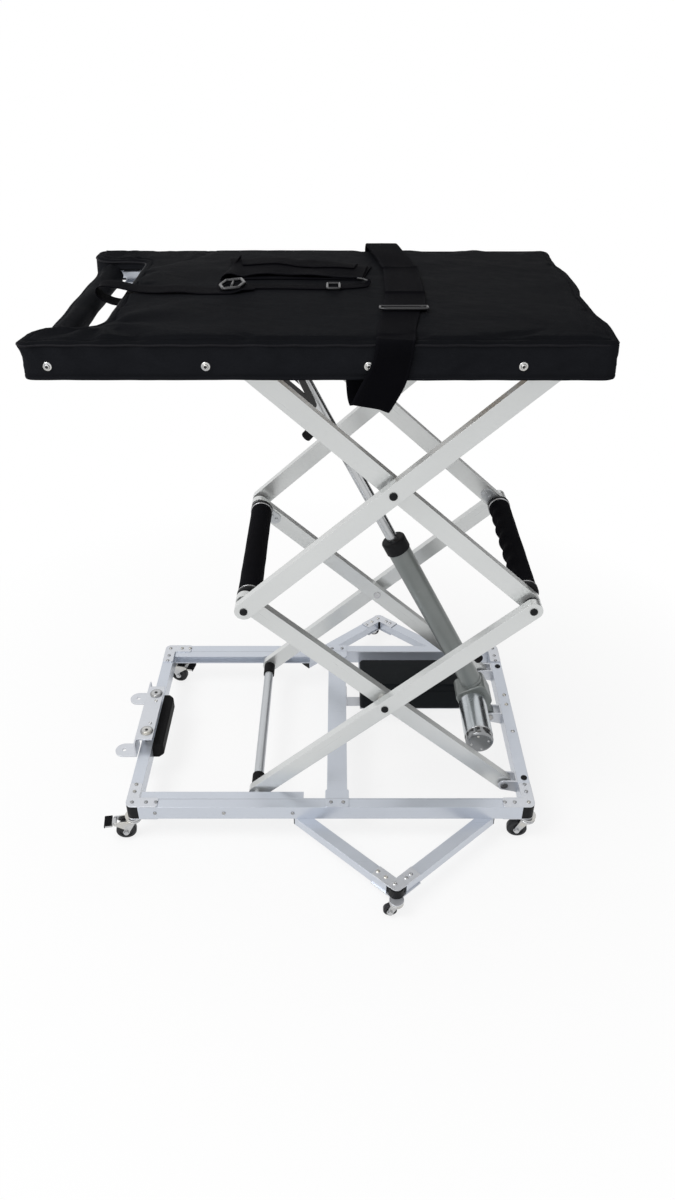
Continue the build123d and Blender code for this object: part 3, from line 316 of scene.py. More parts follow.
@dataclass(frozen=True)
class Anodised(Finish):
    """Satin anodised extrusion: drawn lines along the profile, faint cloudiness and handling marks."""

    grain: Grain = Grain.ALONG
    dark: Colour = (0.560, 0.595, 0.655)
    light: Colour = (0.615, 0.650, 0.715)
    roughness: float = 0.28
    metallic: float = 0.62
    scuffed: Colour = (0.46, 0.47, 0.49)
    # painted shade: the colour that the grooves are tinted with, for the shade inside them
    groove: Colour = (0.16, 0.17, 0.19)
    lines_in_metre: float = 900.0
    edge: float = 0.0010

    def grooves(self, shader: Shader) -> Optional[Value]:
        """A mask of the profile's shallow grooves, or None for a plain profile."""
        return None

    def dress(self, shader: Shader) -> None:
        """Fill the surface.

        Args:
            shader: the material's shader.
        """
        drawn = shader.place((3.0, self.lines_in_metre, self.lines_in_metre), self.grain.value)
        lines = shader.noise(drawn, 1.0, 3.0, 0.7)
        cloud = shader.noise(shader.place((1.0, 2.6, 2.6), self.grain.value), 5.5, 4.0)
        marks = shader.noise(shader.place(), 46.0, 5.0, 0.7)
        scuff = marks.above(0.64, 0.10) * cloud
        colour = shader.tint((cloud * 0.95 + lines * 0.05).clamp(), self.dark, self.light)
        colour = shader.tint(scuff * 0.12, colour, self.scuffed)
        height = lines * 0.7 + marks * 0.3
        depth, strength = 0.00002, 0.10
        cut = self.grooves(shader)
        if cut:
            # painted shade: darken the grooves, which the relief below also cuts in
            colour = shader.tint(cut * 0.55, colour, self.groove)
            height = height * 0.04 - cut
            depth, strength = 0.0006, 0.8
        shader.feed(
            Base_Color=colour, Metallic=self.metallic,
            Roughness=(self.roughness + lines * 0.03 - 0.015 + scuff * 0.08).clamp(),
            Normal=shader.relief(height, depth, strength, self.edge),
        )


@dataclass(frozen=True)
class GroovedRail(Anodised):
    """The base's slotted extrusion: a thin groove along the inner edge of each long rail, with painted shade
    in it.
    """

    line: float = 0.2925
    half_width: float = 0.0006
    soft: float = 0.0004

    def grooves(self, shader: Shader) -> Optional[Value]:
        """A mask of the two grooves."""
        _, along, _ = shader.parts(shader.place())
        return 1.0 - abs(abs(along) - self.line).above(self.half_width, self.soft)


@dataclass(frozen=True)
class Plated(Finish):
    """Bright zinc plate: uneven sheen, pale blue and straw tints, and fine pits."""

    dark: Colour = (0.36, 0.37, 0.39)
    light: Colour = (0.66, 0.66, 0.66)
    roughness: float = 0.20
    straw: Colour = (0.70, 0.65, 0.52)

    def dress(self, shader: Shader) -> None:
        """Fill the surface.

        Args:
            shader: the material's shader.
        """
        where = shader.place()
        cloud = shader.noise(where, 38.0, 4.0)
        pits = shader.noise(where, 420.0, 3.0, 0.7)
        stain = shader.noise(shader.place(turn=(0.4, 0.2, 0.9)), 17.0, 2.0).above(0.56, 0.16)
        shader.feed(
            Base_Color=shader.tint(stain * 0.35, shader.tint(cloud, self.dark, self.light), self.straw),
            Metallic=0.95,
            Roughness=(self.roughness + cloud * 0.14 + pits * 0.08 - 0.06).clamp(),
            Normal=shader.relief(pits, 0.00008, 0.4, 0.0005),
        )


@dataclass(frozen=True)
class Painted(Finish):
    """Sprayed paint or powder coat: orange peel, a little dust and places worn by rubbing."""

    dark: Colour = (0.27, 0.29, 0.30)
    light: Colour = (0.34, 0.36, 0.37)
    roughness: float = 0.42
    peel: float = 620.0
    coat: float = 0.15
    metallic: float = 0.35
    peel_depth: float = 0.00010

    def dress(self, shader: Shader) -> None:
        """Fill the surface.

        Args:
            shader: the material's shader.
        """
        where = shader.place()
        peel = shader.noise(where, self.peel, 2.0)
        cloud = shader.noise(where, 11.0, 4.0)
        rub = shader.noise(where, 70.0, 5.0, 0.72).above(0.66, 0.08) * cloud
        # the colour where the paint is worn through: wear only, no painted light
        wear_and_painted_light = tuple(min(1.0, part * 1.7 + 0.02) for part in self.light)
        shader.feed(
            Base_Color=shader.tint(rub * 0.25, shader.tint(cloud, self.dark, self.light), wear_and_painted_light),
            Metallic=self.metallic, Coat_Weight=self.coat,
            Roughness=(self.roughness + cloud * 0.14 - 0.07 + rub * 0.1).clamp(),
            Normal=shader.relief(peel, self.peel_depth, 0.5, 0.0006),
        )


@dataclass(frozen=True)
class Moulded(Finish):
    """Moulded plastic or rubber with a spark-eroded grain, settled dust and worn places."""

    dark: Colour = (0.0055, 0.0060, 0.0070)
    light: Colour = (0.0120, 0.0125, 0.0140)
    roughness: float = 0.5
    grain: float = 900.0
    depth: float = 0.00014
    shine: float = 0.12
    dusty: Colour = (0.05, 0.05, 0.05)

    def dress(self, shader: Shader) -> None:
        """Fill the surface.

        Args:
            shader: the material's shader.
        """
        where = shader.place()
        pebble = shader.cells(where, self.grain)
        cloud = shader.noise(where, 16.0, 4.0)
        dust = shader.noise(where, 130.0, 5.0, 0.75).above(0.62, 0.16) * cloud
        shader.feed(
            Base_Color=shader.tint(dust * 0.22, shader.tint(cloud, self.dark, self.light), self.dusty),
            Specular_IOR_Level=self.shine,
            Roughness=(self.roughness + cloud * 0.16 - 0.08 + dust * 0.15).clamp(),
            Normal=shader.relief(pebble, self.depth, 0.5, 0.0006),
        )


@dataclass(frozen=True)
class FoamRubber(Finish):
    """Closed-cell foam sleeve: fine open skin, soft and matt, with a few dents."""

    dark: Colour = (0.0035, 0.0035, 0.0045)
    light: Colour = (0.0085, 0.0085, 0.0105)
    shine: float = 0.010

    def dress(self, shader: Shader) -> None:
        """Fill the surface.

        Args:
            shader: the material's shader.
        """
        where = shader.place()
        skin = shader.cells(where, 1500.0) * 0.5 + shader.noise(where, 700.0, 3.0) * 0.5
        dents = shader.noise(where, 55.0, 3.0)
        shader.feed(
            Base_Color=shader.tint((dents * 0.6 + skin * 0.4).clamp(), self.dark, self.light),
            Roughness=(0.66 + dents * 0.2 - 0.06).clamp(), Specular_IOR_Level=self.shine,
            Normal=shader.relief(skin * 0.5 + dents * 0.5, 0.0005, 0.5),
        )


@dataclass(frozen=True)
class CoatedCloth(Finish):
    """Coated pack cloth: a plain weave under a dull coating, soft creases, worn high places and painted light
    on steep faces.
    """

    dark: Colour = (0.0022, 0.0024, 0.0030)
    light: Colour = (0.0170, 0.0180, 0.0215)
    thread: float = 0.0011
    # how much lighter steep faces such as the skirts are painted: painted light, not wear
    wear_and_painted_light: float = 0.42
    shine: float = 0.006

    def dress(self, shader: Shader) -> None:
        """Fill the surface.

        Args:
            shader: the material's shader.
        """
        where = shader.place()
        across, along, up = shader.parts(where)
        turn = FULL_TURN / self.thread
        weave = (across * turn).wave() * ((along + up) * turn).wave()
        crease = shader.noise(shader.place((1.0, 2.2, 2.2), (0.0, 0.0, 0.5)), 9.0, 4.0, 0.6)
        crumple = shader.noise(where, 34.0, 4.0, 0.6)
        worn = shader.noise(where, 6.0, 5.0, 0.65)
        # painted light: steep faces such as the skirts are painted lighter than the top, for the floor's
        # light on them, more along the creases
        _, _, facing_up = shader.parts(shader.node("ShaderNodeNewGeometry").outputs["Normal"])
        painted_side_light = 1.0 - abs(facing_up)
        share = worn * 0.34 + weave * 0.12 + crumple * 0.08 + painted_side_light * self.wear_and_painted_light * (0.6 + crease * 0.6)
        shader.feed(
            Base_Color=shader.tint(share.clamp(), self.dark, self.light),
            Roughness=(0.52 + worn * 0.22 - 0.08 + weave * 0.06).clamp(), Specular_IOR_Level=self.shine,
            Normal=shader.relief(crease * 0.66 + crumple * 0.22 + weave * 0.05, 0.0085, 0.70),
        )


@dataclass(frozen=True)
class Webbing(Finish):
    """Woven nylon webbing: ribs across the strap, a herringbone in its middle and stitched edges."""

    dark: Colour = (0.0014, 0.0014, 0.0018)
    light: Colour = (0.0065, 0.0065, 0.0085)
    rib: float = 0.0016
    slant: float = 0.012
    shine: float = 0.008

    def dress(self, shader: Shader) -> None:
        """Fill the surface.

        Args:
            shader: the material's shader.
        """
        across, along, _ = shader.parts(shader.node("ShaderNodeUVMap").outputs[0])
        ribs = ((along + abs(across - 0.5) * self.slant) * (FULL_TURN / self.rib)).wave()
        edge = abs(across - 0.5).above(0.43, 0.02)
        fuzz = shader.noise(shader.place(), 260.0, 3.0, 0.7)
        worn = shader.noise(shader.place(), 14.0, 4.0)
        shader.feed(
            Base_Color=shader.tint((ribs * 0.4 + worn * 0.4 + edge * 0.2).clamp(), self.dark, self.light),
            Roughness=(0.60 + fuzz * 0.16 + ribs * 0.06 - 0.06).clamp(), Specular_IOR_Level=self.shine,
            Normal=shader.relief(ribs * 0.6 + edge * 0.25 + fuzz * 0.15, 0.0009, 0.6),
        )


@dataclass(frozen=True)
class Plywood(Finish):
    """Plain plywood: long grain and darker plies."""

    dark: Colour = (0.26, 0.17, 0.09)
    light: Colour = (0.52, 0.38, 0.22)
    ply: float = 0.003

    def dress(self, shader: Shader) -> None:
        """Fill the surface.

        Args:
            shader: the material's shader.
        """
        fibre = shader.noise(shader.place((2.0, 46.0, 46.0)), 3.0, 5.0, 0.65)
        _, _, up = shader.parts(shader.place())
        plies = (up * (FULL_TURN / self.ply)).wave()
        shader.feed(
            Base_Color=shader.tint((fibre * 0.75 + plies * 0.25).clamp(), self.dark, self.light),
            Roughness=(0.58 + fibre * 0.2).clamp(), Normal=shader.relief(fibre, 0.0003, 0.4),
        )


@dataclass(frozen=True)
class StudioFloor(Finish):
    """A pale floor that looks white where nothing shades it and keeps the cart's shadow."""

    dark: Colour = (0.93, 0.93, 0.93)
    light: Colour = (0.95, 0.95, 0.95)
    roughness: float = 0.9
    white_share: float = 0.80
    near_reach: float = 0.55
    far_reach: float = 1.5

    def dress(self, shader: Shader) -> None:
        """Fill the surface and lay plain white over it for the camera.

        Args:
            shader: the material's shader.
        """
        cloud = shader.noise(shader.place(), 1.5, 2.0)
        shader.feed(Base_Color=shader.tint(cloud, self.dark, self.light), Roughness=self.roughness)
        across, along, _ = shader.parts(shader.place())
        reach = (across * across + along * along) ** 0.5
        far = ((reach - self.near_reach) / (self.far_reach - self.near_reach)).clamp()
        share = shader.ray("Camera", "Glossy") * (self.white_share + far * (1.0 - self.white_share))
        white = shader.node("ShaderNodeEmission", inputs={"Color": WHITE, "Strength": 1.0})
        mixed = shader.node("ShaderNodeMixShader", inputs={
            0: share.clamp(), 1: shader.surface.outputs["BSDF"], 2: white.outputs[0]})
        shader.plug(shader.output.inputs["Surface"], mixed.outputs[0])


RAIL = Anodised("rail_aluminium")
BASE_RAIL = GroovedRail("base_rail_aluminium")
PLATE = Anodised("plate_aluminium", dark=(0.60, 0.62, 0.66), light=(0.66, 0.68, 0.72), roughness=0.30)
ARM_LEFT = Anodised("arm_aluminium_left", Grain.RISING_LEFT, (0.625, 0.640, 0.638), (0.690, 0.704, 0.700))
ARM_RIGHT = Anodised("arm_aluminium_right", Grain.RISING_RIGHT, ARM_LEFT.dark, ARM_LEFT.light)
AXLE = Anodised("axle_aluminium", Grain.ACROSS, (0.46, 0.48, 0.50), (0.60, 0.62, 0.64), 0.33)
ROD = Anodised("rod_steel", Grain.ACTUATOR, (0.42, 0.43, 0.44), (0.60, 0.61, 0.62), 0.22, 0.95)
ZINC = Plated("zinc_plate")
SCREW_ZINC = Plated("screw_zinc_plate", (0.20, 0.21, 0.22), (0.42, 0.42, 0.43), 0.16)
ACTUATOR_GREY = Painted("actuator_grey_paint", (0.17, 0.185, 0.18), (0.25, 0.27, 0.265), 0.40)
MOTOR_GREY = Painted(
    "motor_grey_paint", (0.44, 0.47, 0.49), (0.60, 0.63, 0.66), 0.24, 620.0, 0.2, 0.95, 0.000008)
CAP_METAL = Painted(
    "motor_cap_metal", (0.16, 0.165, 0.17), (0.34, 0.35, 0.36), 0.24, 500.0, 0.2, 0.92, 0.000012)
# black powder coat for the lift yoke, and black for painted shade in screw recesses, bolt sockets and motor
# vents
BLACK_COAT_AND_SHADE = Painted(
    "black_coat_and_painted_shade", (0.008, 0.008, 0.009), (0.015, 0.015, 0.017), 0.45, 520.0, 0.05, 0.0)
BUCKLE_METAL = Painted(
    "buckle_dark_metal", (0.012, 0.012, 0.013), (0.030, 0.030, 0.033), 0.30, 800.0, 0.1, 0.4)
RING_METAL = Painted("grip_ring_metal", (0.30, 0.30, 0.31), (0.46, 0.46, 0.47), 0.25, 800.0, 0.2, 0.9)
BLACK_PLASTIC = Moulded("black_plastic")
BOX_PLASTIC = Moulded(
    "box_plastic", (0.0050, 0.0065, 0.0080), (0.0100, 0.0125, 0.0150), 0.34, 700.0, 0.00010, 0.06)
RUBBER = Moulded(
    "black_rubber", (0.0050, 0.0050, 0.0055), (0.0105, 0.0105, 0.0115), 0.62, 500.0, 0.0002, 0.08)
TREAD = Moulded("wheel_tread", (0.012, 0.013, 0.015), (0.028, 0.029, 0.032), 0.40, 380.0, 0.0002, 0.25)
PIPING = Moulded("piping_cord", (0.004, 0.004, 0.005), (0.010, 0.010, 0.013), 0.5, 900.0, 0.0002, 0.08)
CARD = Moulded("card_black", (0.010, 0.010, 0.011), (0.016, 0.016, 0.018), 0.9)
FOAM = FoamRubber("grip_foam")
CLOTH = CoatedCloth("cover_cloth")
BELT = Webbing("strap_webbing")
BOARD = Plywood("deck_plywood")
FLOOR = StudioFloor("floor_white")


class Slot(Enum):
    """The library's names for the pieces' material slots."""

    FABRIC = "cover_fabric"
    FOAM = "black_foam"
    WEBBING = "webbing"
    ZINC = "zinc_steel"
    STEEL = "black_steel"
    PLASTIC = "black_plastic"
    RUBBER = "black_rubber"
    PAINT = "grey_paint"


class Wardrobe:
    """Builds each finish once and dresses the pieces."""

    def __init__(self) -> None:
        """Start with no material built."""
        self._built: Dict[str, bpy.types.Material] = {}

    def put(self, thing: bpy.types.Object, finish: Finish) -> None:
        """Dress an object in one finish.

        Args:
            thing: the object.
            finish: its finish, whose material is built at its first use.
        """
        if finish.name not in self._built:
            self._built[finish.name] = finish.build()
        thing.data.materials.clear()
        thing.data.materials.append(self._built[finish.name])

    def fit(self, thing: bpy.types.Object, finish: Finish, body: str, slot: Slot,
            *nodes: str) -> bpy.types.Object:
        """Dress a piece and attach it to its body.

        Args:
            thing: the piece.
            finish: its finish.
            body: the body that it rides on.
            slot: its material slot; not used.
            nodes: the solids that it stands for.

        Returns:
            The piece.
        """
        self.put(thing, finish)
        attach(thing, body)
        if nodes:
            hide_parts(*nodes)
        log.info("piece %s rides on %s", thing.name, body)
        return thing



# Mesh tools


def make_mesh(name: str, points: Sequence[Point], faces: Sequence[Sequence[int]],
              smooth: bool = True) -> bpy.types.Object:
    """Link a new mesh object.

    Args:
        name: the piece's name.
        points: its vertices in metres, in the row frame.
        faces: its faces, as indices of the points.
        smooth: whether its faces are shaded smooth.

    Returns:
        The new object.
    """
    data = bpy.data.meshes.new(name)
    data.from_pydata([tuple(point) for point in points], [], [tuple(face) for face in faces])
    data.validate()
    for face in data.polygons:
        face.use_smooth = smooth
    thing = bpy.data.objects.new(name, data)
    bpy.context.scene.collection.objects.link(thing)
    return thing


def bake_modifiers(thing: bpy.types.Object) -> None:
    """Turn an object's modifiers into its mesh.

    Args:
        thing: the object.
    """
    bpy.context.view_layer.update()
    graph = bpy.context.evaluated_depsgraph_get()
    baked = bpy.data.meshes.new_from_object(thing.evaluated_get(graph))
    thing.modifiers.clear()
    thing.data = baked


def thicken(thing: bpy.types.Object, thickness: float, offset: float) -> None:
    """Give a sheet of faces a thickness.

    Args:
        thing: the sheet.
        thickness: how thick it becomes, in metres.
        offset: 1 to grow along its normals and -1 to grow against them.
    """
    skin = thing.modifiers.new("thickness", "SOLIDIFY")
    skin.thickness = thickness
    skin.offset = offset
    bake_modifiers(thing)


def joined(name: str, things: Sequence[bpy.types.Object]) -> bpy.types.Object:
    """Join several meshes.

    Args:
        name: the joined piece's name.
        things: the meshes.

    Returns:
        One object with all their faces.
    """
    first = things[0]
    with bpy.context.temp_override(active_object=first, selected_editable_objects=list(things)):
        bpy.ops.object.join()
    first.name = name
    return first


def sharp_edges(thing: bpy.types.Object, degrees: float = 35.0) -> None:
    """Keep edges sharper than an angle crisp under smooth shading."""
    thing.data.set_sharp_from_angle(angle=math.radians(degrees))


def smooth_path(stations: Rows, steps: int) -> List[List[float]]:
    """Run a smooth curve through rows of numbers.

    Args:
        stations: the rows, all of one length.
        steps: how many rows replace each gap.

    Returns:
        The denser rows, first and last included.
    """
    rows = [list(row) for row in stations]
    rows = [rows[0]] + rows + [rows[-1]]
    out = []
    for index in range(1, len(rows) - 2):
        before, here, after, beyond = rows[index - 1:index + 3]
        for step in range(steps):
            t = step / steps
            out.append([
                0.5 * (2 * b + (c - a) * t + (2 * a - 5 * b + 4 * c - d) * t * t
                       + (3 * b - a - 3 * c + d) * t ** 3)
                for a, b, c, d in zip(before, here, after, beyond)])
    out.append(rows[-2])
    return out


def shifted(x: float, y: float, z: float, rows: Rows) -> Rows:
    """Move rows of numbers whose first three are a place."""
    return [(x + a, y + b, z + c, *rest) for a, b, c, *rest in rows]


def tube_faces(rows: int, sides: int, closed: bool = False) -> List[List[int]]:
    """The faces round rings of points.

    Args:
        rows: how many rings there are.
        sides: how many points each has.
        closed: whether the last ring meets the first, or else both are capped.

    Returns:
        The faces.
    """
    faces = [[r * sides + c, r * sides + (c + 1) % sides,
              (r + 1) % rows * sides + (c + 1) % sides, (r + 1) % rows * sides + c]
             for r in range(rows if closed else rows - 1) for c in range(sides)]
    if not closed:
        faces += [list(range(sides))[::-1], [(rows - 1) * sides + c for c in range(sides)]]
    return faces


class Ground:
    """What lies under a strap: the upper surface of some meshes, read by looking straight down."""

    sky = 5.0

    def __init__(self, *things: bpy.types.Object) -> None:
        """Gather faces.

        Args:
            things: the meshes.
        """
        self.trees = [BVHTree.FromPolygons([vertex.co for vertex in thing.data.vertices],
                                           [face.vertices for face in thing.data.polygons])
                      for thing in things]

    def level(self, x: float, y: float) -> Optional[float]:
        """Find the highest surface at a place.

        Args:
            x: the place along X.
            y: the place along Y.

        Returns:
            Its height, or None where there is none.
        """
        start, down = Vector((x, y, self.sky)), Vector((0.0, 0.0, -1.0))
        found = [tree.ray_cast(start, down)[0] for tree in self.trees]
        return max((spot.z for spot in found if spot is not None), default=None)

    def clear(self, spot: Vector, gap: float, reach: float = 0.012) -> Vector:
        """Lift a point that lies on or just under the surface.

        Args:
            spot: the point.
            gap: how far above the surface it stays, in metres.
            reach: how deep it may lie and still be lifted.

        Returns:
            The point, lifted where it needs it.
        """
        height = self.level(spot.x, spot.y)
        if height is None or not height - reach < spot.z < height + gap:
            return spot
        return Vector((spot.x, spot.y, height + gap))


@dataclass(frozen=True)
class Strap:
    """How one length of flat webbing is made."""

    thickness: float
    across: Point
    ripple: float
    seed: float
    steps: int = 7
    clearance: float = 0.0006
    half_section: Profile = (
        (-1.0, 0.25), (-0.94, 0.5), (-0.5, 0.5), (0.0, 0.5), (0.5, 0.5), (0.94, 0.5), (1.0, 0.25))

    def along(self, name: str, stations: Rows, ground: Ground) -> bpy.types.Object:
        """Lay the webbing along a smooth line.

        Args:
            name: the piece's name.
            stations: rows of x, y, z and width in metres, and the share by which the width leans upwards.
            ground: what the strap may lie on and not sink into.

        Returns:
            The strap, with a texture map whose second number is metres along it.
        """
        rows = smooth_path(stations, self.steps)
        side = Vector(self.across).normalized()
        section = list(self.half_section) + [(share, -lift) for share, lift in reversed(self.half_section)]
        points: List[Vector] = []
        lengths = [0.0]
        for index, row in enumerate(rows):
            here = Vector(row[:3])
            ahead = Vector(rows[min(index + 1, len(rows) - 1)][:3])
            behind = Vector(rows[max(index - 1, 0)][:3])
            if index:
                lengths.append(lengths[-1] + (here - behind).length)
            way = (ahead - behind).normalized()
            leaning = side + Vector((0.0, 0.0, row[4] if len(row) > 4 else 0.0))
            width_way = (leaning - way * leaning.dot(way)).normalized()
            normal = width_way.cross(way).normalized()
            for share, lift in section:
                spot = here + width_way * (share * row[3] / 2) + normal * (lift * self.thickness)
                drift = wander(share * 0.8 + self.seed, lengths[-1] * 14.0, self.seed)
                spot = spot + normal * (drift * self.ripple)
                if abs(normal.z) > 0.5:
                    upper = lift if normal.z > 0 else -lift
                    spot = ground.clear(spot, self.clearance + (upper + 0.5) * self.thickness)
                points.append(spot)
        count = len(section)
        thing = make_mesh(name, points, tube_faces(len(rows), count))
        sheet = thing.data.uv_layers.new(name="sheet")
        for loop in thing.data.loops:
            row_index, column = divmod(loop.vertex_index, count)
            sheet.data[loop.index].uv = (section[column][0] * 0.5 + 0.5, lengths[row_index])
        return thing


def round_bar(name: str, line: Sequence[Point], radius: float, sides: int = 10,
              closed: bool = False) -> bpy.types.Object:
    """A round bar along a line of points.

    Args:
        name: the piece's name.
        line: the points of its middle line.
        radius: its radius in metres.
        sides: how many sides its section has.
        closed: whether its end joins its start.

    Returns:
        The bar.
    """
    spots = [Vector(point) for point in line]
    count = len(spots)
    points: List[Vector] = []
    up = Vector()
    for index, spot in enumerate(spots):
        ahead = spots[(index + 1) % count] if closed else spots[min(index + 1, count - 1)]
        behind = spots[index - 1] if closed else spots[max(index - 1, 0)]
        way = (ahead - behind).normalized()
        if not index:
            up = way.orthogonal().normalized()
        up = (up - way * up.dot(way)).normalized()
        other = way.cross(up)
        for side in range(sides):
            angle = FULL_TURN * side / sides
            points.append(spot + (up * math.cos(angle) + other * math.sin(angle)) * radius)
    return make_mesh(name, points, tube_faces(count, sides, closed))


def ring_points(middle: Vector, corners: Sequence[Tuple[float, float]], steps: int,
                tilt: float = 0.0) -> List[Point]:
    """Points along a flat ring.

    Args:
        middle: the ring's middle.
        corners: its corners, from the middle.
        steps: how many points each side has.
        tilt: how far it rises for each metre along X.

    Returns:
        The points.
    """
    out: List[Point] = []
    for index, (a, b) in enumerate(corners):
        c, d = corners[(index + 1) % len(corners)]
        for step in range(steps):
            t = step / steps
            x, y = a + (c - a) * t, b + (d - b) * t
            out.append((middle.x + x, middle.y + y, middle.z + x * tilt))
    return out


def turned(name: str, profile: Profile, centre: Point, axis: Point, sides: int = 32,
           shape: Optional[Callable[[float, float], float]] = None) -> bpy.types.Object:
    """A turned solid.

    Args:
        name: the piece's name.
        profile: pairs of distance along the axis and radius, from one end to the other.
        centre: where the axis starts.
        axis: its direction.
        sides: how many sides its section has.
        shape: adds to the radius by distance along the axis and angle.

    Returns:
        The solid, closed at both ends.
    """
    way = Vector(axis).normalized()
    first = Vector((1, 0, 0)) if abs(way.x) < 0.9 else Vector((0, 1, 0))
    first = (first - way * first.dot(way)).normalized()
    second = way.cross(first)
    points = []
    for reach, radius in profile:
        for side in range(sides):
            angle = FULL_TURN * side / sides
            size = radius + (shape(reach, angle) if shape else 0.0)
            out = first * math.cos(angle) + second * math.sin(angle)
            points.append(Vector(centre) + way * reach + out * size)
    return make_mesh(name, points, tube_faces(len(profile), sides))


def wander(x: float, y: float, z: float) -> float:
    """Smooth noise at a place, from about -1 to 1."""
    return noise.noise(Vector((x, y, z)))


def roundish(angle: float, reach: float, turns: float, pitch: float) -> float:
    """Noise on a tube's surface, which changes so fast for each turn round it and metre along it."""
    return wander(math.cos(angle) * turns, math.sin(angle) * turns, reach * pitch)


# Soft pieces

COVER_WASHER: Profile = ((-0.0030, 0.0078), (0.0004, 0.0078), (0.0011, 0.0070), (0.0012, 0.0052))
COVER_SCREW: Profile = (
    (0.0, 0.0052), (0.0022, 0.0050), (0.0034, 0.0041), (0.0038, 0.0028), (0.0022, 0.0024), (0.0021, 0.0001))
COVER_RECESS: Profile = ((0.0018, 0.0025), (0.0026, 0.0024), (0.0027, 0.0001))


@dataclass
class PlatformCover:
    """The sewn cover: a padded top, a bound edge, skirts all round and a notch for the grab bar."""

    wardrobe: Wardrobe
    spacing: float = 0.010
    corner: float = 0.019
    notch_corner: float = 0.045
    rear_notch_corner: float = 0.024
    notch_share: float = 0.31
    notch_lip: float = 0.016
    arm_corner: float = 0.052
    corner_steps: int = 6
    edge_drop: float = 0.006
    ear_reach: float = 0.007
    ear_size: float = 0.020
    notch_rim: float = 0.012
    notch_depth: float = 0.124
    notch_half: float = 0.232
    skirt_wave: float = 0.0034
    top_wave: float = 0.0040
    fold_height: float = 0.0050
    end_bulge: float = 0.0078
    limp_from: float = 0.05
    limp_over: float = 0.045
    slack: float = 0.018
    settle_frames: int = 18
    most_rise: float = 0.0042
    most_fall: float = 0.0005
    most_side: float = 0.0030
    edge_band: float = 0.018
    edge_share: float = 0.25
    hem_held: float = 0.8
    skirt_held: Tuple[float, float] = (0.08, 0.15)
    cloth: float = 0.0018
    top_inset: float = 0.0012
    piping_radius: float = 0.0019
    piping_out: float = 0.0006
    piping_drop: float = 0.0034
    piping_wave: float = 0.0004
    screw_places: Tuple[float, ...] = (-0.4495, -0.1785, 0.1005, 0.3655)
    screw_drop: float = 0.040
    screw_proud: float = 0.0028
    low: Vector = field(init=False)
    high: Vector = field(init=False)

    def __post_init__(self) -> None:
        """Read the space that the cover fills."""
        self.low, self.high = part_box("platform_cover")

    def outline(self) -> List[Tuple[Vector, Vector, float]]:
        """Run round the cover's plan.

        Returns:
            Rows of a point, its outward direction and how far the skirt drops there.
        """
        x0, x1, y1 = self.low.x, self.high.x, self.high.y
        notch = x0 + self.notch_depth
        full = self.high.z - self.low.z
        corners = [
            (x0, -y1, self.corner, full), (x1, -y1, self.corner, full), (x1, y1, self.corner, full),
            (x0, y1, self.corner, full), (x0, self.notch_half, self.arm_corner, full * self.notch_share),
            (notch, self.notch_half, -self.rear_notch_corner, self.notch_lip),
            (notch, -self.notch_half, -self.notch_corner, full * self.notch_share),
            (x0, -self.notch_half, self.arm_corner, full),
        ]
        rows: List[Tuple[Vector, float]] = []
        count = len(corners)
        for index, (x, y, radius, drop) in enumerate(corners):
            here = Vector((x, y))
            before = Vector(corners[index - 1][:2])
            after = Vector(corners[(index + 1) % count][:2])
            back = (before - here).normalized()
            ahead = (after - here).normalized()
            size = abs(radius)
            start, end = here + back * size, here + ahead * size
            middle = here + (back + ahead) * size
            earlier = corners[index - 1][3]
            for step in range(self.corner_steps + 1):
                t = step / self.corner_steps
                angle = t * math.pi / 2
                spot = middle + (start - middle) * math.cos(angle) + (end - middle) * math.sin(angle)
                rows.append((spot, earlier + (drop - earlier) * t))
            next_size = abs(corners[(index + 1) % count][2])
            stretch = (after - here).length - size - next_size
            steps = max(2, int(stretch / self.spacing))
            for step in range(1, steps):
                rows.append((end + ahead * (stretch * step / steps), drop))
        out = []
        for index, (spot, drop) in enumerate(rows):
            way = (rows[(index + 1) % len(rows)][0] - rows[index - 1][0]).normalized()
            out.append((spot, Vector((way.y, -way.x)), drop))
        return out

    def limp_end(self, spot: Vector, share: float) -> float:
        """Let the loose right end hang out.

        Args:
            spot: a place on the cover's plan.
            share: how far down the skirt the point lies, from 0 to 1.

        Returns:
            How far it hangs out along X, in metres, fading out from the end.
        """
        near = min(1.0, max(0.0, (spot.x - self.high.x + self.limp_from) / self.limp_over))
        wave = 1.0 + 0.70 * math.sin(spot.y * 19.6) + 0.16 * math.sin(spot.y * 51.0 + 0.6)
        return self.end_bulge * wave * near * near * (0.7 + 0.3 * share)

    def swell(self, x: float, y: float) -> float:
        """Pad the top.

        Args:
            x: a place along X.
            y: the same place along Y.

        Returns:
            How far the top stands above its lowest level there, in metres.
        """
        long_folds = wander(x * 3.1 + y * 1.3, y * 6.5 - x * 1.1, 0.7)
        short_folds = wander(x * 9.0 - y * 4.0, y * 15.0, 3.1)
        crumple = wander(x * 31.0, y * 27.0, 8.0)
        away = math.hypot(x - self.low.x - self.notch_depth, y + self.notch_half)
        turn = math.atan2(y + self.notch_half, x - self.low.x - self.notch_depth)
        fan = math.cos(turn * 6.5 + 1.2 + away * 4.0) * math.exp(-away / 0.14)
        fan *= 1.0 - math.exp(-away / 0.035)
        waves = self.top_wave * (0.40 + 0.50 * long_folds + 0.28 * short_folds + 0.10 * crumple)
        return waves + self.fold_height * fan

    def ear(self, spot: Vector) -> float:
        """How far the cover's small front left ear stands out at a place on its plan, in metres."""
        away = (spot - Vector((self.low.x, -self.high.y))).length
        return self.ear_reach * math.exp(-(away / self.ear_size) ** 2)

    def build(self) -> bpy.types.Object:
        """Build the cover, its piping and its screws.

        Returns:
            The cover's cloth.
        """
        rows = self.outline()
        count = len(rows)
        top = self.high.z - self.top_inset
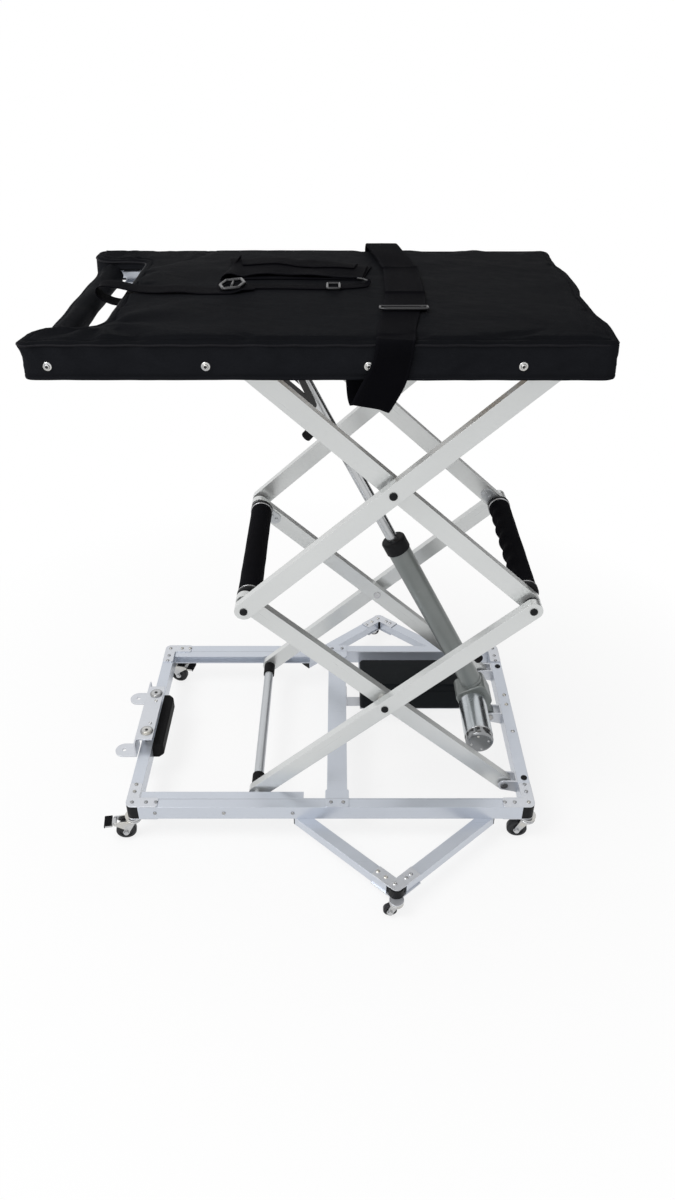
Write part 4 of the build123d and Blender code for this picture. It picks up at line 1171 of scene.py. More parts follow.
        # rings from the top's edge down the skirt: inset, level, and share of the drop
        rings: List[Tuple[float, float, float]] = [
            (0.022, 0.0006, 0.0), (0.0165, 0.0000, 0.0), (0.0150, -0.0012, 0.0), (0.0135, 0.0002, 0.0),
            (0.0075, 0.0008, 0.0), (0.0030, 0.0000, 0.0), (0.0006, -0.0026, 0.0), (0.0, -0.0060, 0.0),
        ]
        rings += [(0.0, -0.0060, share) for share in (0.10, 0.22, 0.36, 0.50, 0.64, 0.76, 0.86)]
        rings += [(inset, -0.0060, share)
                  for inset, share in ((0.0010, 0.885), (0.0, 0.91), (0.0, 0.96), (0.0008, 1.0))]
        points: List[Tuple[float, float, float]] = []
        for inset, level, share in rings:
            for index, (spot, out, drop) in enumerate(rows):
                along = index * self.spacing
                fall = max(0.0, drop - self.edge_drop) * share
                wave = wander(along * 9.0, share * 1.5, 2.0) * 0.6
                wave += wander(along * 31.0, share * 2.5, 5.0) * 0.3 + 0.5
                push = self.skirt_wave * wave * min(1.0, share * 1.6)
                push += self.ear(spot) * max(0.0, 1.0 - share * 3.0)
                place = spot - out * inset + out * push
                place.x += self.limp_end(spot, share)
                lift = self.swell(place.x, place.y) if share == 0.0 and inset > 0.002 else 0.0
                lift *= min(1.0, inset / 0.022)
                points.append((place.x, place.y, top + level + lift - fall))
        faces = [[r * count + c, (r + 1) * count + c,
                  (r + 1) * count + (c + 1) % count, r * count + (c + 1) % count]
                 for r in range(len(rings) - 1) for c in range(count)]
        faces += self._fill(points, rings[0][0], top + rings[0][1], count)
        cloth = make_mesh("cover_cloth", points, faces)
        if cloth.data.polygons[-1].normal.z < 0:
            cloth.data.flip_normals()
        self._settle(cloth)
        thicken(cloth, self.cloth, -1.0)
        for face in cloth.data.polygons:
            face.use_smooth = True
        self._piping(rows, top)
        self._screws()
        return self.wardrobe.fit(cloth, CLOTH, "platform", Slot.FABRIC, "platform_cover")

    def _settle(self, cloth: bpy.types.Object) -> None:
        """Simulate the cloth, cut a little larger than its board, so that it buckles into soft folds.

        The skirt's hem and the notch's edge are held, no point moves further than the cover's slack allows,
        and the result is kept in the mesh.

        Args:
            cloth: the cover as one open sheet of faces.
        """
        starts = [vertex.co.copy() for vertex in cloth.data.vertices]
        held = cloth.vertex_groups.new(name="held")
        lowest = self.low.z
        for index, spot in enumerate(starts):
            drop = (self.high.z - spot.z) / (self.high.z - lowest)
            in_notch = (spot.x < self.low.x + self.notch_depth + self.notch_rim
                        and abs(spot.y) < self.notch_half + self.notch_rim)
            on_skirt, skirt_weight = self.skirt_held
            weight = 1.0 if drop > self.hem_held or in_notch else skirt_weight if drop > on_skirt else 0.0
            held.add([index], weight, "REPLACE")
        sim = cloth.modifiers.new("settle", "CLOTH")
        settings = sim.settings
        settings.quality = 5
        settings.mass = 0.25
        settings.tension_stiffness = 30.0
        settings.compression_stiffness = 30.0
        settings.shear_stiffness = 8.0
        settings.bending_stiffness = 1.2
        settings.shrink_min = -self.slack
        settings.use_pressure = True
        settings.uniform_pressure_force = 0.6
        settings.vertex_group_mass = "held"
        settings.effector_weights.gravity = 0.0
        sim.collision_settings.use_collision = False
        sim.point_cache.frame_start = 1
        sim.point_cache.frame_end = self.settle_frames
        scene = bpy.context.scene
        for number in range(1, self.settle_frames + 1):
            scene.frame_set(number)
        bake_modifiers(cloth)
        scene.frame_set(1)
        for vertex, start in zip(cloth.data.vertices, starts):
            vertex.co = start + self._kept_move(start, vertex.co - start)
        log.info("piece cover_cloth settled over %d frames", self.settle_frames)

    def _kept_move(self, start: Vector, move: Vector) -> Vector:
        """Limit a point's settling, so that the cloth never sinks into its board or frame.

        Args:
            start: where the point was sewn.
            move: how far the simulation took it.

        Returns:
            The part of the move that is kept.
        """
        flat = Vector((move.x, move.y, 0.0))
        if flat.length > self.most_side:
            flat = flat.normalized() * self.most_side
        share = 1.0
        for axis in (0, 1):
            if start[axis] < self.low[axis] + self.edge_band:
                flat[axis] = min(0.0, flat[axis])
                share = self.edge_share
            if start[axis] > self.high[axis] - self.edge_band:
                flat[axis] = max(0.0, flat[axis])
                share = self.edge_share
        rise = min(self.most_rise * share, max(-self.most_fall * share, move.z))
        return flat + Vector((0.0, 0.0, rise))

    def _fill(self, points: List[Point], inset: float, level: float, count: int) -> List[List[int]]:
        """Fill the top inside the first ring.

        Args:
            points: the cover's points, which grow.
            inset: the first ring's inset.
            level: its height.
            count: how many points it has.

        Returns:
            The top's faces.
        """
        edge = [Vector(points[index][:2]) for index in range(count)]
        x0, x1, y1 = self.low.x, self.high.x, self.high.y
        notch = x0 + self.notch_depth
        margin = inset + self.spacing * 0.6
        inner: List[Vector] = []
        columns = int((x1 - x0) / self.spacing)
        lines = int(2 * y1 / self.spacing)
        for i in range(columns + 1):
            for j in range(lines + 1):
                x = x0 + (x1 - x0) * i / columns
                y = -y1 + 2 * y1 * j / lines + (self.spacing * 0.5 if i % 2 else 0.0)
                outside = x < x0 + margin or x > x1 - margin or abs(y) > y1 - margin
                in_notch = x < notch + margin and abs(y) < self.notch_half + margin
                if not outside and not in_notch:
                    inner.append(Vector((x, y)))
        loop = [(index, (index + 1) % count) for index in range(count)]
        flat, _, triangles, origin, _, _ = geometry.delaunay_2d_cdt(
            edge + inner, loop, [list(range(count))], 1, 1e-6)
        numbers: List[int] = []
        for index, spot in enumerate(flat):
            source = [number for number in origin[index] if number < count]
            if source:
                numbers.append(source[0])
            else:
                points.append((spot.x, spot.y, level + self.swell(spot.x, spot.y)))
                numbers.append(len(points) - 1)
        return [[numbers[corner] for corner in triangle] for triangle in triangles]

    def _piping(self, rows: Sequence[Tuple[Vector, Vector, float]], top: float) -> None:
        """Lay a thin cord along the cover's upper edge.

        Args:
            rows: the cover's plan.
            top: the level of its edge.
        """
        line = []
        for index, (spot, out, _) in enumerate(rows):
            place = spot + out * (self.piping_out + self.ear(spot))
            level = top - self.piping_drop + self.piping_wave * math.sin(index * 0.9)
            line.append((place.x, place.y, level))
        cord = round_bar("cover_piping", line, self.piping_radius, 8, closed=True)
        self.wardrobe.fit(cord, PIPING, "platform", Slot.FABRIC)

    def _screws(self) -> None:
        """Set the round cover screws with their washers along both long skirts, and a black disc of painted
        shade in each recess.
        """
        made, hollows = [], []
        for side in (-1, 1):
            for x in self.screw_places:
                spot = (x, side * (self.high.y + self.screw_proud), self.high.z - self.screw_drop)
                made.append(turned("washer", COVER_WASHER, spot, (0, side, 0), 28))
                made.append(turned("head", COVER_SCREW, spot, (0, side, 0), 28))
                hollows.append(turned("hollow", COVER_RECESS, spot, (0, side, 0), 6))
        # painted shade: a black disc in each screw's recess stands for the shade inside it
        self.wardrobe.fit(joined("cover_screw_recess_shade", hollows), BLACK_COAT_AND_SHADE, "platform", Slot.STEEL)
        screws = joined("cover_screws", made)
        sharp_edges(screws)
        self.wardrobe.fit(screws, ZINC, "platform", Slot.ZINC)


@dataclass
class GrabBar:
    """The padded bar at the platform's left end, sleeved in cloth that gathers at its ends."""

    wardrobe: Wardrobe
    swell: float = 0.0022
    flare: float = 0.0035
    flare_place: float = 0.012
    flare_size: float = 0.022
    gather_height: float = 0.0011
    gather_reach: float = 0.035
    seam_height: float = 0.0085
    seam_width: float = 0.11
    seam_angle: float = math.pi + 0.3
    sink: float = 0.0012
    end_depth: float = 0.0050
    end_reach: float = 0.0040
    steps: int = 90

    def build(self) -> bpy.types.Object:
        """Build the sleeve.

        Returns:
            The sleeve.
        """
        low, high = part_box("grab_bar_foam")
        radius = (high.z - low.z) / 2
        length = high.y - low.y

        def folds(reach: float, angle: float) -> float:
            """Gather the cloth near its ends and sew a seam underneath.

            Args:
                reach: the distance along the bar.
                angle: the angle round it.

            Returns:
                What the radius gains there, in metres.
            """
            near_end = math.exp(-min(reach, length - reach) / self.gather_reach)
            gather = math.sin(angle * 9.0 + reach * 60.0) * self.gather_height * near_end
            soft = roundish(angle, reach, 1.4, 11.0) * self.swell
            side = math.remainder(angle - self.seam_angle, FULL_TURN) / self.seam_width
            bound = self.seam_height * math.exp(-side * side) * (1.0 - near_end * 0.6)
            return gather + soft + bound

        profile = []
        for step in range(self.steps + 1):
            reach = length * step / self.steps
            end = min(reach, length - reach)
            flared = self.flare * math.exp(-((end - self.flare_place) / self.flare_size) ** 2)
            rounded = self.end_depth * math.exp(-end / self.end_reach)
            profile.append((reach, radius + flared - self.sink - rounded))
        sleeve = turned("grab_bar_sleeve", profile, ((low.x + high.x) / 2, low.y, (low.z + high.z) / 2),
                        (0, 1, 0), 72, folds)
        return self.wardrobe.fit(sleeve, CLOTH, "platform", Slot.FOAM, "grab_bar_foam")


@dataclass
class LashingStrap:
    """The wide strap across the cover, with its doubled end and the slack loop below the front skirt."""

    wardrobe: Wardrobe
    band: Strap = Strap(0.0026, (1, 0, 0), 0.0008, 1.7, 8)
    end: Strap = Strap(0.0026, (1, -0.03, 0), 0.0010, 4.2, 8)
    hem: Strap = Strap(0.0030, (1, -0.03, 0), 0.0004, 2.0, 4)
    lift: float = 0.0030
    slider_radius: float = 0.0024
    slider_half: Tuple[float, float] = (0.0435, 0.0080)

    def build(self, cover: bpy.types.Object) -> bpy.types.Object:
        """Build the strap, its doubled end and the slider on it.

        Args:
            cover: the cover that the strap lies on.

        Returns:
            The strap.
        """
        low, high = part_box("platform_cover")
        top = high.z + self.lift
        front, rear = low.y, high.y
        skirt = low.z
        band_line = [
            *shifted(0.0, front, skirt, [
                (0.094, 0.022, 0.0085, 0.066, 0.0), (0.095, 0.021, -0.014, 0.066, -0.05),
                (0.098, 0.018, -0.034, 0.068, -0.12), (0.102, 0.010, -0.046, 0.068, -0.16),
                (0.104, -0.001, -0.0490, 0.068, -0.18), (0.106, -0.0115, -0.044, 0.068, -0.19),
                (0.118, -0.0135, -0.020, 0.069, -0.20), (0.133, -0.0095, 0.008, 0.068, -0.12),
                (0.141, -0.0060, 0.034, 0.066, -0.04), (0.144, -0.0052, 0.056, 0.066, 0.0)]),
            *shifted(0.0, front, top, [
                (0.145, 0.0005, -0.0005, 0.066, 0.0), (0.147, 0.016, 0.001, 0.067),
                (0.152, 0.075, 0.0012, 0.068), (0.163, 0.150, 0.0020, 0.069),
                (0.172, 0.240, 0.0016, 0.070), (0.177, 0.320, 0.0030, 0.070),
                (0.178, 0.420, 0.0022, 0.070), (0.172, 0.480, 0.0034, 0.069),
                (0.160, 0.550, 0.0085, 0.068)]),
            *shifted(0.0, rear, top, [
                (0.149, -0.035, 0.0120, 0.068), (0.145, -0.008, 0.0100, 0.068),
                (0.144, 0.0058, -0.002, 0.068), (0.144, 0.0065, -0.030, 0.068)]),
            *shifted(0.0, rear, skirt, [
                (0.145, 0.0062, -0.006, 0.068), (0.146, 0.001, -0.0185, 0.068),
                (0.147, -0.014, -0.0165, 0.068), (0.148, -0.0225, -0.006, 0.067),
                (0.149, -0.0225, 0.0085, 0.066)]),
        ]
        band = self.band.along("lashing_strap_band", band_line, Ground(cover))
        end_line = [
            *shifted(0.0, front, top, [
                (0.170, 0.170, 0.0050, 0.081), (0.1715, 0.186, 0.0062, 0.080),
                (0.175, 0.230, 0.0054, 0.078), (0.1765, 0.255, 0.0060, 0.077),
                (0.1768, 0.264, 0.0092, 0.077), (0.1770, 0.273, 0.0066, 0.077),
                (0.178, 0.350, 0.0070, 0.075), (0.1785, 0.430, 0.0066, 0.073),
                (0.1775, 0.448, 0.0084, 0.072), (0.174, 0.466, 0.0070, 0.071),
                (0.166, 0.520, 0.0110, 0.070), (0.157, 0.560, 0.0135, 0.069)]),
            *shifted(0.0, rear, top, [
                (0.150, -0.034, 0.0150, 0.068), (0.1455, -0.006, 0.0130, 0.068),
                (0.1445, 0.0090, -0.001, 0.068), (0.1445, 0.0096, -0.026, 0.068)]),
        ]
        end = self.end.along("lashing_strap_end", end_line, Ground(cover, band))
        hem = self.hem.along("lashing_strap_hem", shifted(0.0, front, top, [
            (0.169, 0.158, 0.0058, 0.083), (0.1697, 0.166, 0.0070, 0.084), (0.1705, 0.174, 0.0066, 0.083)]),
            Ground(cover, band, end))
        whole = joined("lashing_strap_webbing", [band, end, hem])
        half, deep = self.slider_half
        ring = ring_points(Vector((0.1685, front + 0.160, top + 0.0090)),
                           [(-half, -deep), (half, -deep), (half, deep), (-half, deep)], 6)
        slider = round_bar("lashing_strap_slider", ring, self.slider_radius, closed=True)
        self.wardrobe.fit(slider, BUCKLE_METAL, "platform", Slot.PLASTIC)
        return self.wardrobe.fit(whole, BELT, "platform", Slot.WEBBING, "lashing_strap")


@dataclass
class ShoulderStrap:
    """The carrying strap: a slack loop in the notch, a narrow run, a wide doubled belt and its buckles."""

    wardrobe: Wardrobe
    run: Strap = Strap(0.0022, (0, 1, 0), 0.0014, 3.0)
    belt: Strap = Strap(0.0022, (0.16, 1, 0), 0.0022, 6.0)
    upper: Strap = Strap(0.0022, (0.16, 1, 0), 0.0034, 9.0, 9)
    fold: Strap = Strap(0.0022, (0.10, 1, 0.05), 0.0036, 15.0)
    tail: Strap = Strap(0.0022, (0, 1, 0), 0.0012, 12.0)
    lift: float = 0.0026
    belt_start: float = -0.176
    notch_depth: float = PlatformCover.notch_depth
    frame_corners: Profile = (
        (-0.024, 0.0), (-0.015, -0.030), (0.015, -0.030), (0.024, 0.0), (0.015, 0.030), (-0.015, 0.030))
    slide_corners: Profile = ((-0.012, -0.018), (0.012, -0.018), (0.012, 0.018), (-0.012, 0.018))

    def build(self, cover: bpy.types.Object) -> bpy.types.Object:
        """Build the strap and its buckles.

        Args:
            cover: the cover that the strap lies on.

        Returns:
            The strap.
        """
        low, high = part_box("platform_cover")
        top = high.z + self.lift
        edge = low.x + self.notch_depth
        ground = Ground(cover)
        run = self.run.along("narrow_run", [
            *shifted(edge, 0.0, high.z, [
                (0.006, -0.030, -0.0145, 0.044), (-0.010, -0.032, -0.0150, 0.044),
                (-0.026, -0.034, -0.0110, 0.044), (-0.044, -0.034, -0.0010, 0.044)]),
            *shifted(edge, 0.0, top, [
                (-0.049, -0.032, 0.0080, 0.044), (-0.040, -0.028, 0.0160, 0.044),
                (-0.018, -0.024, 0.0150, 0.044), (0.018, -0.020, 0.0070, 0.045),
                (0.060, -0.022, 0.0042, 0.052), (0.110, -0.020, 0.0056, 0.055),
                (0.160, -0.028, 0.0040, 0.054), (0.205, -0.030, 0.0050, 0.052),
                (0.225, -0.020, 0.0075, 0.048), (0.248, -0.010, 0.0068, 0.046)]),
        ], ground)
        x0 = self.belt_start
        belt = self.belt.along("wide_belt_under", [
            *shifted(x0, 0.0, top, [
                (0.0, 0.124, 0.0058, 0.150), (0.006, 0.124, 0.0022, 0.152), (0.04, 0.126, 0.0020, 0.152),
                (0.10, 0.1275, 0.0030, 0.148), (0.15, 0.125, 0.0024, 0.143), (0.20, 0.116, 0.0034, 0.134),
                (0.262, 0.102, 0.0024, 0.110), (0.284, 0.097, 0.0018, 0.104)]),
        ], ground)
        upper = self.upper.along("wide_belt_upper", [
            *shifted(x0, 0.0, top, [
                (-0.0005, 0.124, 0.0060, 0.148), (0.005, 0.124, 0.0098, 0.148),
                (0.035, 0.130, 0.0086, 0.138), (0.09, 0.134, 0.0110, 0.128), (0.14, 0.126, 0.0082, 0.124),
                (0.19, 0.112, 0.0104, 0.112), (0.255, 0.100, 0.0078, 0.098), (0.280, 0.096, 0.0072, 0.094)]),
        ], Ground(cover, belt))
        fold = self.fold.along("wide_belt_fold", [
            *shifted(x0, 0.0, top, [
                (0.020, 0.162, 0.0050, 0.050), (0.060, 0.166, 0.0120, 0.054),
                (0.110, 0.160, 0.0105, 0.056), (0.165, 0.147, 0.0125, 0.052),
                (0.215, 0.134, 0.0105, 0.046), (0.262, 0.124, 0.0060, 0.040)]),
        ], Ground(cover, belt, upper))
        tail = self.tail.along("buckle_tail", [
            *shifted(x0, 0.0, top, [
                (0.034, -0.006, 0.0068, 0.034), (0.064, -0.004, 0.0058, 0.033),
                (0.124, -0.002, 0.0030, 0.030), (0.184, -0.006, 0.0040, 0.030),
                (0.234, -0.002, 0.0028, 0.030), (0.270, 0.010, 0.0036, 0.030),
                (0.276, 0.020, 0.0046, 0.030)]),
        ], ground)
        whole = joined("shoulder_strap_webbing", [run, belt, upper, fold, tail])
        self._frames(x0, top)
        return self.wardrobe.fit(whole, BELT, "platform", Slot.WEBBING, "shoulder_strap")

    def _frames(self, x0: float, top: float) -> None:
        """Set the six-sided frame with its cross bar, a slider and an end bar.

        Args:
            x0: where the belt starts along X.
            top: the level of the cover's top.
        """
        middle = Vector((x0 + 0.0155, -0.006, top + 0.0100))
        small = Vector((x0 + 0.215, -0.008, top + 0.0070))
        far = Vector((x0 + 0.275, 0.030, top + 0.0090))
        reach = Vector((0.0, 0.027, 0.0))
        buckles = joined("strap_buckles", [
            round_bar("buckle_frame", ring_points(middle, self.frame_corners, 5, 0.10), 0.0035, 12, True),
            round_bar("buckle_bar", [middle - reach, middle + reach], 0.0026),
            round_bar("slider_frame", ring_points(small, self.slide_corners, 5), 0.0027, closed=True),
            round_bar("end_bar", [far + Vector((-0.012, 0.010, 0.0)), far + Vector((0.0, 0.0, 0.001)),
                                  far + Vector((0.012, -0.014, 0.0))], 0.0020)])
        self.wardrobe.fit(buckles, BUCKLE_METAL, "platform", Slot.ZINC)


class GripStyle(Enum):
    """The two foam grips: a plain sleeve and one with finger waves."""

    PLAIN = "plain"
    WAVED = "waved"


@dataclass
class HandGrip:
    """A foam grip on a handle tube between the arms."""

    wardrobe: Wardrobe
    node: str
    body: str
    style: GripStyle
    finger: float = 0.0560
    hollow_depth: float = 0.0058
    collar: float = 0.013
    hollow_from: float = 0.030
    hollow_over: float = 0.020
    sink: float = 0.0008
    end_depth: float = 0.0035
    end_reach: float = 0.0022
    dent: float = 0.0007
    bore: float = 0.74
    steps: int = 120

    def build(self) -> bpy.types.Object:
        """Build the grip.

        Returns:
            The grip.
        """
        low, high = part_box(self.node)
        length = high.y - low.y
        radius = (high.z - low.z) / 2

        def shape(reach: float, angle: float) -> float:
            """Press finger hollows into the side that faces the cart's middle, and soft dents all over.

            Args:
                reach: the distance along the grip.
                angle: the angle round it.

            Returns:
                What the radius gains there, in metres.
            """
            dents = roundish(angle, reach, 1.5, 24.0) * self.dent
            if self.style is GripStyle.PLAIN:
                return dents
            inner = max(0.0, -math.cos(angle)) ** 1.5
            end = min(reach, length - reach)
            middle = min(1.0, max(0.0, (end - self.hollow_from) / self.hollow_over))
            hollow = 0.5 - 0.5 * math.cos(FULL_TURN * reach / self.finger)
            return dents - hollow * inner * middle * self.hollow_depth

        profile = [(0.0, radius * self.bore)]
        for step in range(self.steps + 1):
            reach = length * step / self.steps
            end = min(reach, length - reach)
            profile.append((reach, radius - self.sink - self.end_depth * math.exp(-end / self.end_reach)))
        profile.append((length, radius * self.bore))
        grip = turned(f"{self.node}_foam", profile, ((low.x + high.x) / 2, low.y, (low.z + high.z) / 2),
                      (0, 1, 0), 40, shape)
        self._collars(low, high, radius)
        return self.wardrobe.fit(grip, FOAM, self.body, Slot.FOAM, self.node)

    def _collars(self, low: Vector, high: Vector, radius: float) -> None:
        """Close the foam with a moulded collar at each end and a thin bright ring inside it.

        Args:
            low: the grip's lowest corner.
            high: its highest corner.
            radius: the foam's radius.
        """
        middle = ((low.x + high.x) / 2, (low.z + high.z) / 2)
        collars, rings = [], []
        for end, way in ((low.y, 1), (high.y, -1)):
            start = (middle[0], end, middle[1])
            size = radius + 0.0007
            collars.append(turned("collar", [
                (-0.0006, size * 0.70), (-0.0008, size - 0.0040), (0.0002, size - 0.0010), (0.0014, size),
                (self.collar - 0.0014, size), (self.collar, size - 0.0014)], start, (0, way, 0), 40))
            rings.append(turned("ring", [
                (self.collar - 0.0008, size - 0.0020), (self.collar - 0.0002, size + 0.0001),
                (self.collar + 0.0012, size + 0.0001), (self.collar + 0.0018, size - 0.0020)],
                start, (0, way, 0), 40))
        self.wardrobe.fit(joined(f"{self.node}_collars", collars), BLACK_PLASTIC, self.body, Slot.PLASTIC)
        self.wardrobe.fit(joined(f"{self.node}_rings", rings), RING_METAL, self.body, Slot.ZINC)


# Small hardware

PIVOT_CAP: Profile = (
    (-0.0012, 0.0084), (0.0006, 0.0084), (0.0018, 0.0076), (0.0026, 0.0052), (0.0029, 0.0001))
RAIL_PLUG: Profile = (
    (-0.001, 0.0078), (0.0014, 0.0078), (0.0026, 0.007), (0.003, 0.005), (0.0024, 0.0036), (0.0023, 0.0001))
PAN_HEAD: Profile = (
    (-0.001, 0.0052), (0.0008, 0.0052), (0.002, 0.0042), (0.0025, 0.0026), (0.0012, 0.0022), (0.0012, 0.0001))
CAP_HEAD: Profile = ((-0.0008, 0.0030), (0.0014, 0.0030), (0.0022, 0.0022), (0.0023, 0.0001))
HITCH_SOCKET: Profile = ((-0.001, 0.0045), (0.0012, 0.0045), (0.0013, 0.0001))
HITCH_FACE: Profile = (
    (-0.0012, 0.0128), (0.0002, 0.0128), (0.001, 0.012), (0.0012, 0.01), (0.0008, 0.0092), (0.0008, 0.0044))
HITCH_SCREW: Profile = (
    (-0.001, 0.0046), (0.001, 0.0046), (0.0022, 0.0036), (0.0024, 0.0018), (0.0014, 0.0016), (0.0014, 0.0001))
UP: Point = (0, 0, 1)


@dataclass(frozen=True)
class RoundBody:
    """The axis of a round body, for plates and screws that are set on it."""

    centre: Vector
    way: Vector

    def out(self, angle: float) -> Vector:
        """The direction away from the axis.

        Args:
            angle: the angle from the side that faces the front.

        Returns:
            A direction of length one.
        """
        front = Vector((0.0, -1.0, 0.0))
        side = (front - self.way * front.dot(self.way)).normalized()
        return side * math.cos(angle) + self.way.cross(side) * math.sin(angle)

    def patch(self, name: str, radius: float, reach: Tuple[float, float], span: Tuple[float, float],
              steps: int, depth: float = 0.0016) -> bpy.types.Object:
        """A thin curved plate on the body.

        Args:
            name: the piece's name.
            radius: the plate's outer radius.
            reach: where it starts and ends along the axis.
            span: its first and last angle.
            steps: how many flats stand for its curve.
            depth: its thickness in metres.

        Returns:
            The plate.
        """
        points: List[Vector] = []
        for step in range(steps + 1):
            out = self.out(span[0] + (span[1] - span[0]) * step / steps)
            points += [self.centre + self.way * along + out * size
                       for size in (radius, radius - depth) for along in reach]
        faces: List[List[int]] = []
        for step in range(steps):
            a, b = step * 4, step * 4 + 4
            faces += [[a, a + 1, b + 1, b], [a + 3, a + 2, b + 2, b + 3],
                      [a + 2, a, b, b + 2], [a + 1, a + 3, b + 3, b + 1]]
        last = steps * 4
        faces += [[0, 2, 3, 1], [last + 1, last + 3, last + 2, last]]
        return make_mesh(name, points, faces, smooth=False)


@dataclass
class SmallHardware:
    """Caps, sockets, pads and plugs that are too small for the solids."""

    wardrobe: Wardrobe
    pin_face: float = 0.2617
    pin_gap: float = 0.030
    knee_level: float = 0.6566
    cap_to_axis: float = 0.0160
    sleeve_start: float = 0.2288
    sleeve_length: float = 0.0104
    sleeve_radius: float = 0.0166
    castor_x: float = 0.020
    castor_y: float = 0.305
    pedal_heading: float = -12.0
    pad_ribs: int = 7
    pad_pitch: float = 0.0026
    pad_half: float = 0.0164
    pad_thickness: float = 0.0012
    rail_top: float = 0.115
    plug_inset: float = 0.012
    plug_places: Tuple[float, ...] = (0.222, -0.222)
    rail_screw_inset: float = 0.0125
    rail_screw_places: Tuple[float, ...] = (0.095, 0.055, -0.053)
    wing_apex: Tuple[float, float] = (0.1815, 0.517)
    wing_feet: Tuple[float, float] = (-0.0485, 0.4225)
    wing_screws: Tuple[Tuple[float, ...], ...] = ((0.005, 0.0325, 0.056), (0.030, 0.045))
    wing_top: float = 0.09
    hitch_x: float = -0.4555
    hitch_places: Tuple[float, ...] = (-0.0835, 0.0655)
    hitch_top: float = 0.149
    hitch_screw: Point = (0.004, 0.030, 0.145)
    vents: int = 14
    vent_half: float = 0.11
    cap_screws: int = 4
    cap_screw_circle: float = 0.62

    def build(self) -> None:
        """Build every small piece."""
        self._pivot_caps("lower_pivot_pins", "lower_inner")
        self._pivot_caps("upper_pivot_pins", "upper_inner")
        self._pedal_pads()
        self._rail_plugs()
        self._hitch_sockets()
        self._spacer_sleeves()
        self._wing_screws()
        self._motor_rings()

    def _pivot_caps(self, node: str, body: str) -> None:
        """Cover the outer end of each pivot bolt with a black domed cap.

        Args:
            node: the bolts.
            body: their body.
        """
        groups: List[List[Vector]] = []
        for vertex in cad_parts[node].data.vertices:
            if abs(vertex.co.y) <= self.pin_face - 0.0005:
                continue
            near = [group for group in groups if (vertex.co - group[0]).length < self.pin_gap]
            if near:
                near[0].append(vertex.co.copy())
            else:
                groups.append([vertex.co.copy()])
        made = []
        for group in groups:
            centre = sum(group, Vector()) / len(group)
            side = 1 if centre.y > 0 else -1
            spot = (centre.x, side * self.pin_face, centre.z)
            made.append(turned("cap", PIVOT_CAP, spot, (0, side, 0), 24))
        self.wardrobe.fit(joined(f"{node}_caps", made), BLACK_PLASTIC, body, Slot.PLASTIC)

    def _pedal_pads(self) -> None:
        """Lay a ribbed black pad over the tread of each brake pedal."""
        section = [(0.0525, -0.0008)]
        for rib in range(self.pad_ribs):
            start = 0.0530 + rib * self.pad_pitch
            section += [(start, 0.0012), (start + 0.0015, 0.0012), (start + 0.0018, 0.0004)]
        section += [(0.0715, 0.0006), (0.0722, -0.0020), (0.0716, -0.0068)]
        faces = [[row * 2, row * 2 + 1, row * 2 + 3, row * 2 + 2] for row in range(len(section) - 1)]
        for name, side in (("front_left", -1), ("rear_left", 1)):
            heading = math.radians(self.pedal_heading + (200.0 if side < 0 else 0.0))
            way = Vector((math.cos(heading), math.sin(heading), 0))
            across = Vector((-way.y, way.x, 0))
            centre = Vector((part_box("castor_mounts")[0].x + self.castor_x, side * self.castor_y,
                             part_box(f"{name}_pedal")[1].z))
            points = [centre + way * reach + across * (share * self.pad_half) + Vector((0, 0, lift))
                      for reach, lift in section for share in (-1.0, 1.0)]
            pad = make_mesh(f"{name}_pedal_pad", points, faces, smooth=False)
            thicken(pad, self.pad_thickness, 1.0)
            self.wardrobe.fit(pad, RUBBER, f"{name}_brake", Slot.RUBBER)

    def _rail_plugs(self) -> None:
        """Set two round black plugs on top of the right end rail."""
        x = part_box("base_rails")[1].x - self.plug_inset
        made = [turned("plug", RAIL_PLUG, (x, y, self.rail_top), UP, 28) for y in self.plug_places]
        self.wardrobe.fit(joined("rail_plugs", made), BLACK_PLASTIC, "base", Slot.PLASTIC)

    def _hitch_sockets(self) -> None:
        """Give the two hitch bolts a black socket of painted shade and a washer's rim, and set the screw
        beside each.
        """
        made, dark = [], []
        ahead, inboard, level = self.hitch_screw
        for y in self.hitch_places:
            spot = (self.hitch_x, y, self.hitch_top)
            beside = (self.hitch_x + ahead, y + (inboard if y < 0 else -inboard), level)
            # painted shade: a black hex disc in each bolt's socket stands for the shade inside it
            dark.append(turned("socket", HITCH_SOCKET, spot, UP, 6))
            made.append(turned("bolt_face", HITCH_FACE, spot, UP, 36))
            made.append(turned("screw", HITCH_SCREW, beside, UP, 20))
        self.wardrobe.fit(joined("hitch_sockets", dark), BLACK_COAT_AND_SHADE, "base", Slot.STEEL)
        self.wardrobe.fit(joined("hitch_screws", made), ZINC, "base", Slot.ZINC)

    def _spacer_sleeves(self) -> None:
        """Sleeve the spacers between the arms at the lift's four knees in black."""
        size, length = self.sleeve_radius, self.sleeve_length
        profile = [(0.0, size - 0.0004), (0.0006, size), (length - 0.0006, size), (length, size - 0.0004)]
        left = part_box("lower_pivot_pins")[0].x + self.cap_to_axis
        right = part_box("upper_pivot_pins")[1].x - self.cap_to_axis
        for node, body, x in (("left_grip", "lower_inner", left), ("right_grip", "upper_inner", right)):
            made = [turned("sleeve", profile, (x, side * self.sleeve_start, self.knee_level),
                           (0, side, 0), 36) for side in (-1, 1)]
            self.wardrobe.fit(joined(f"{node}_sleeves", made), BLACK_PLASTIC, body, Slot.PLASTIC)

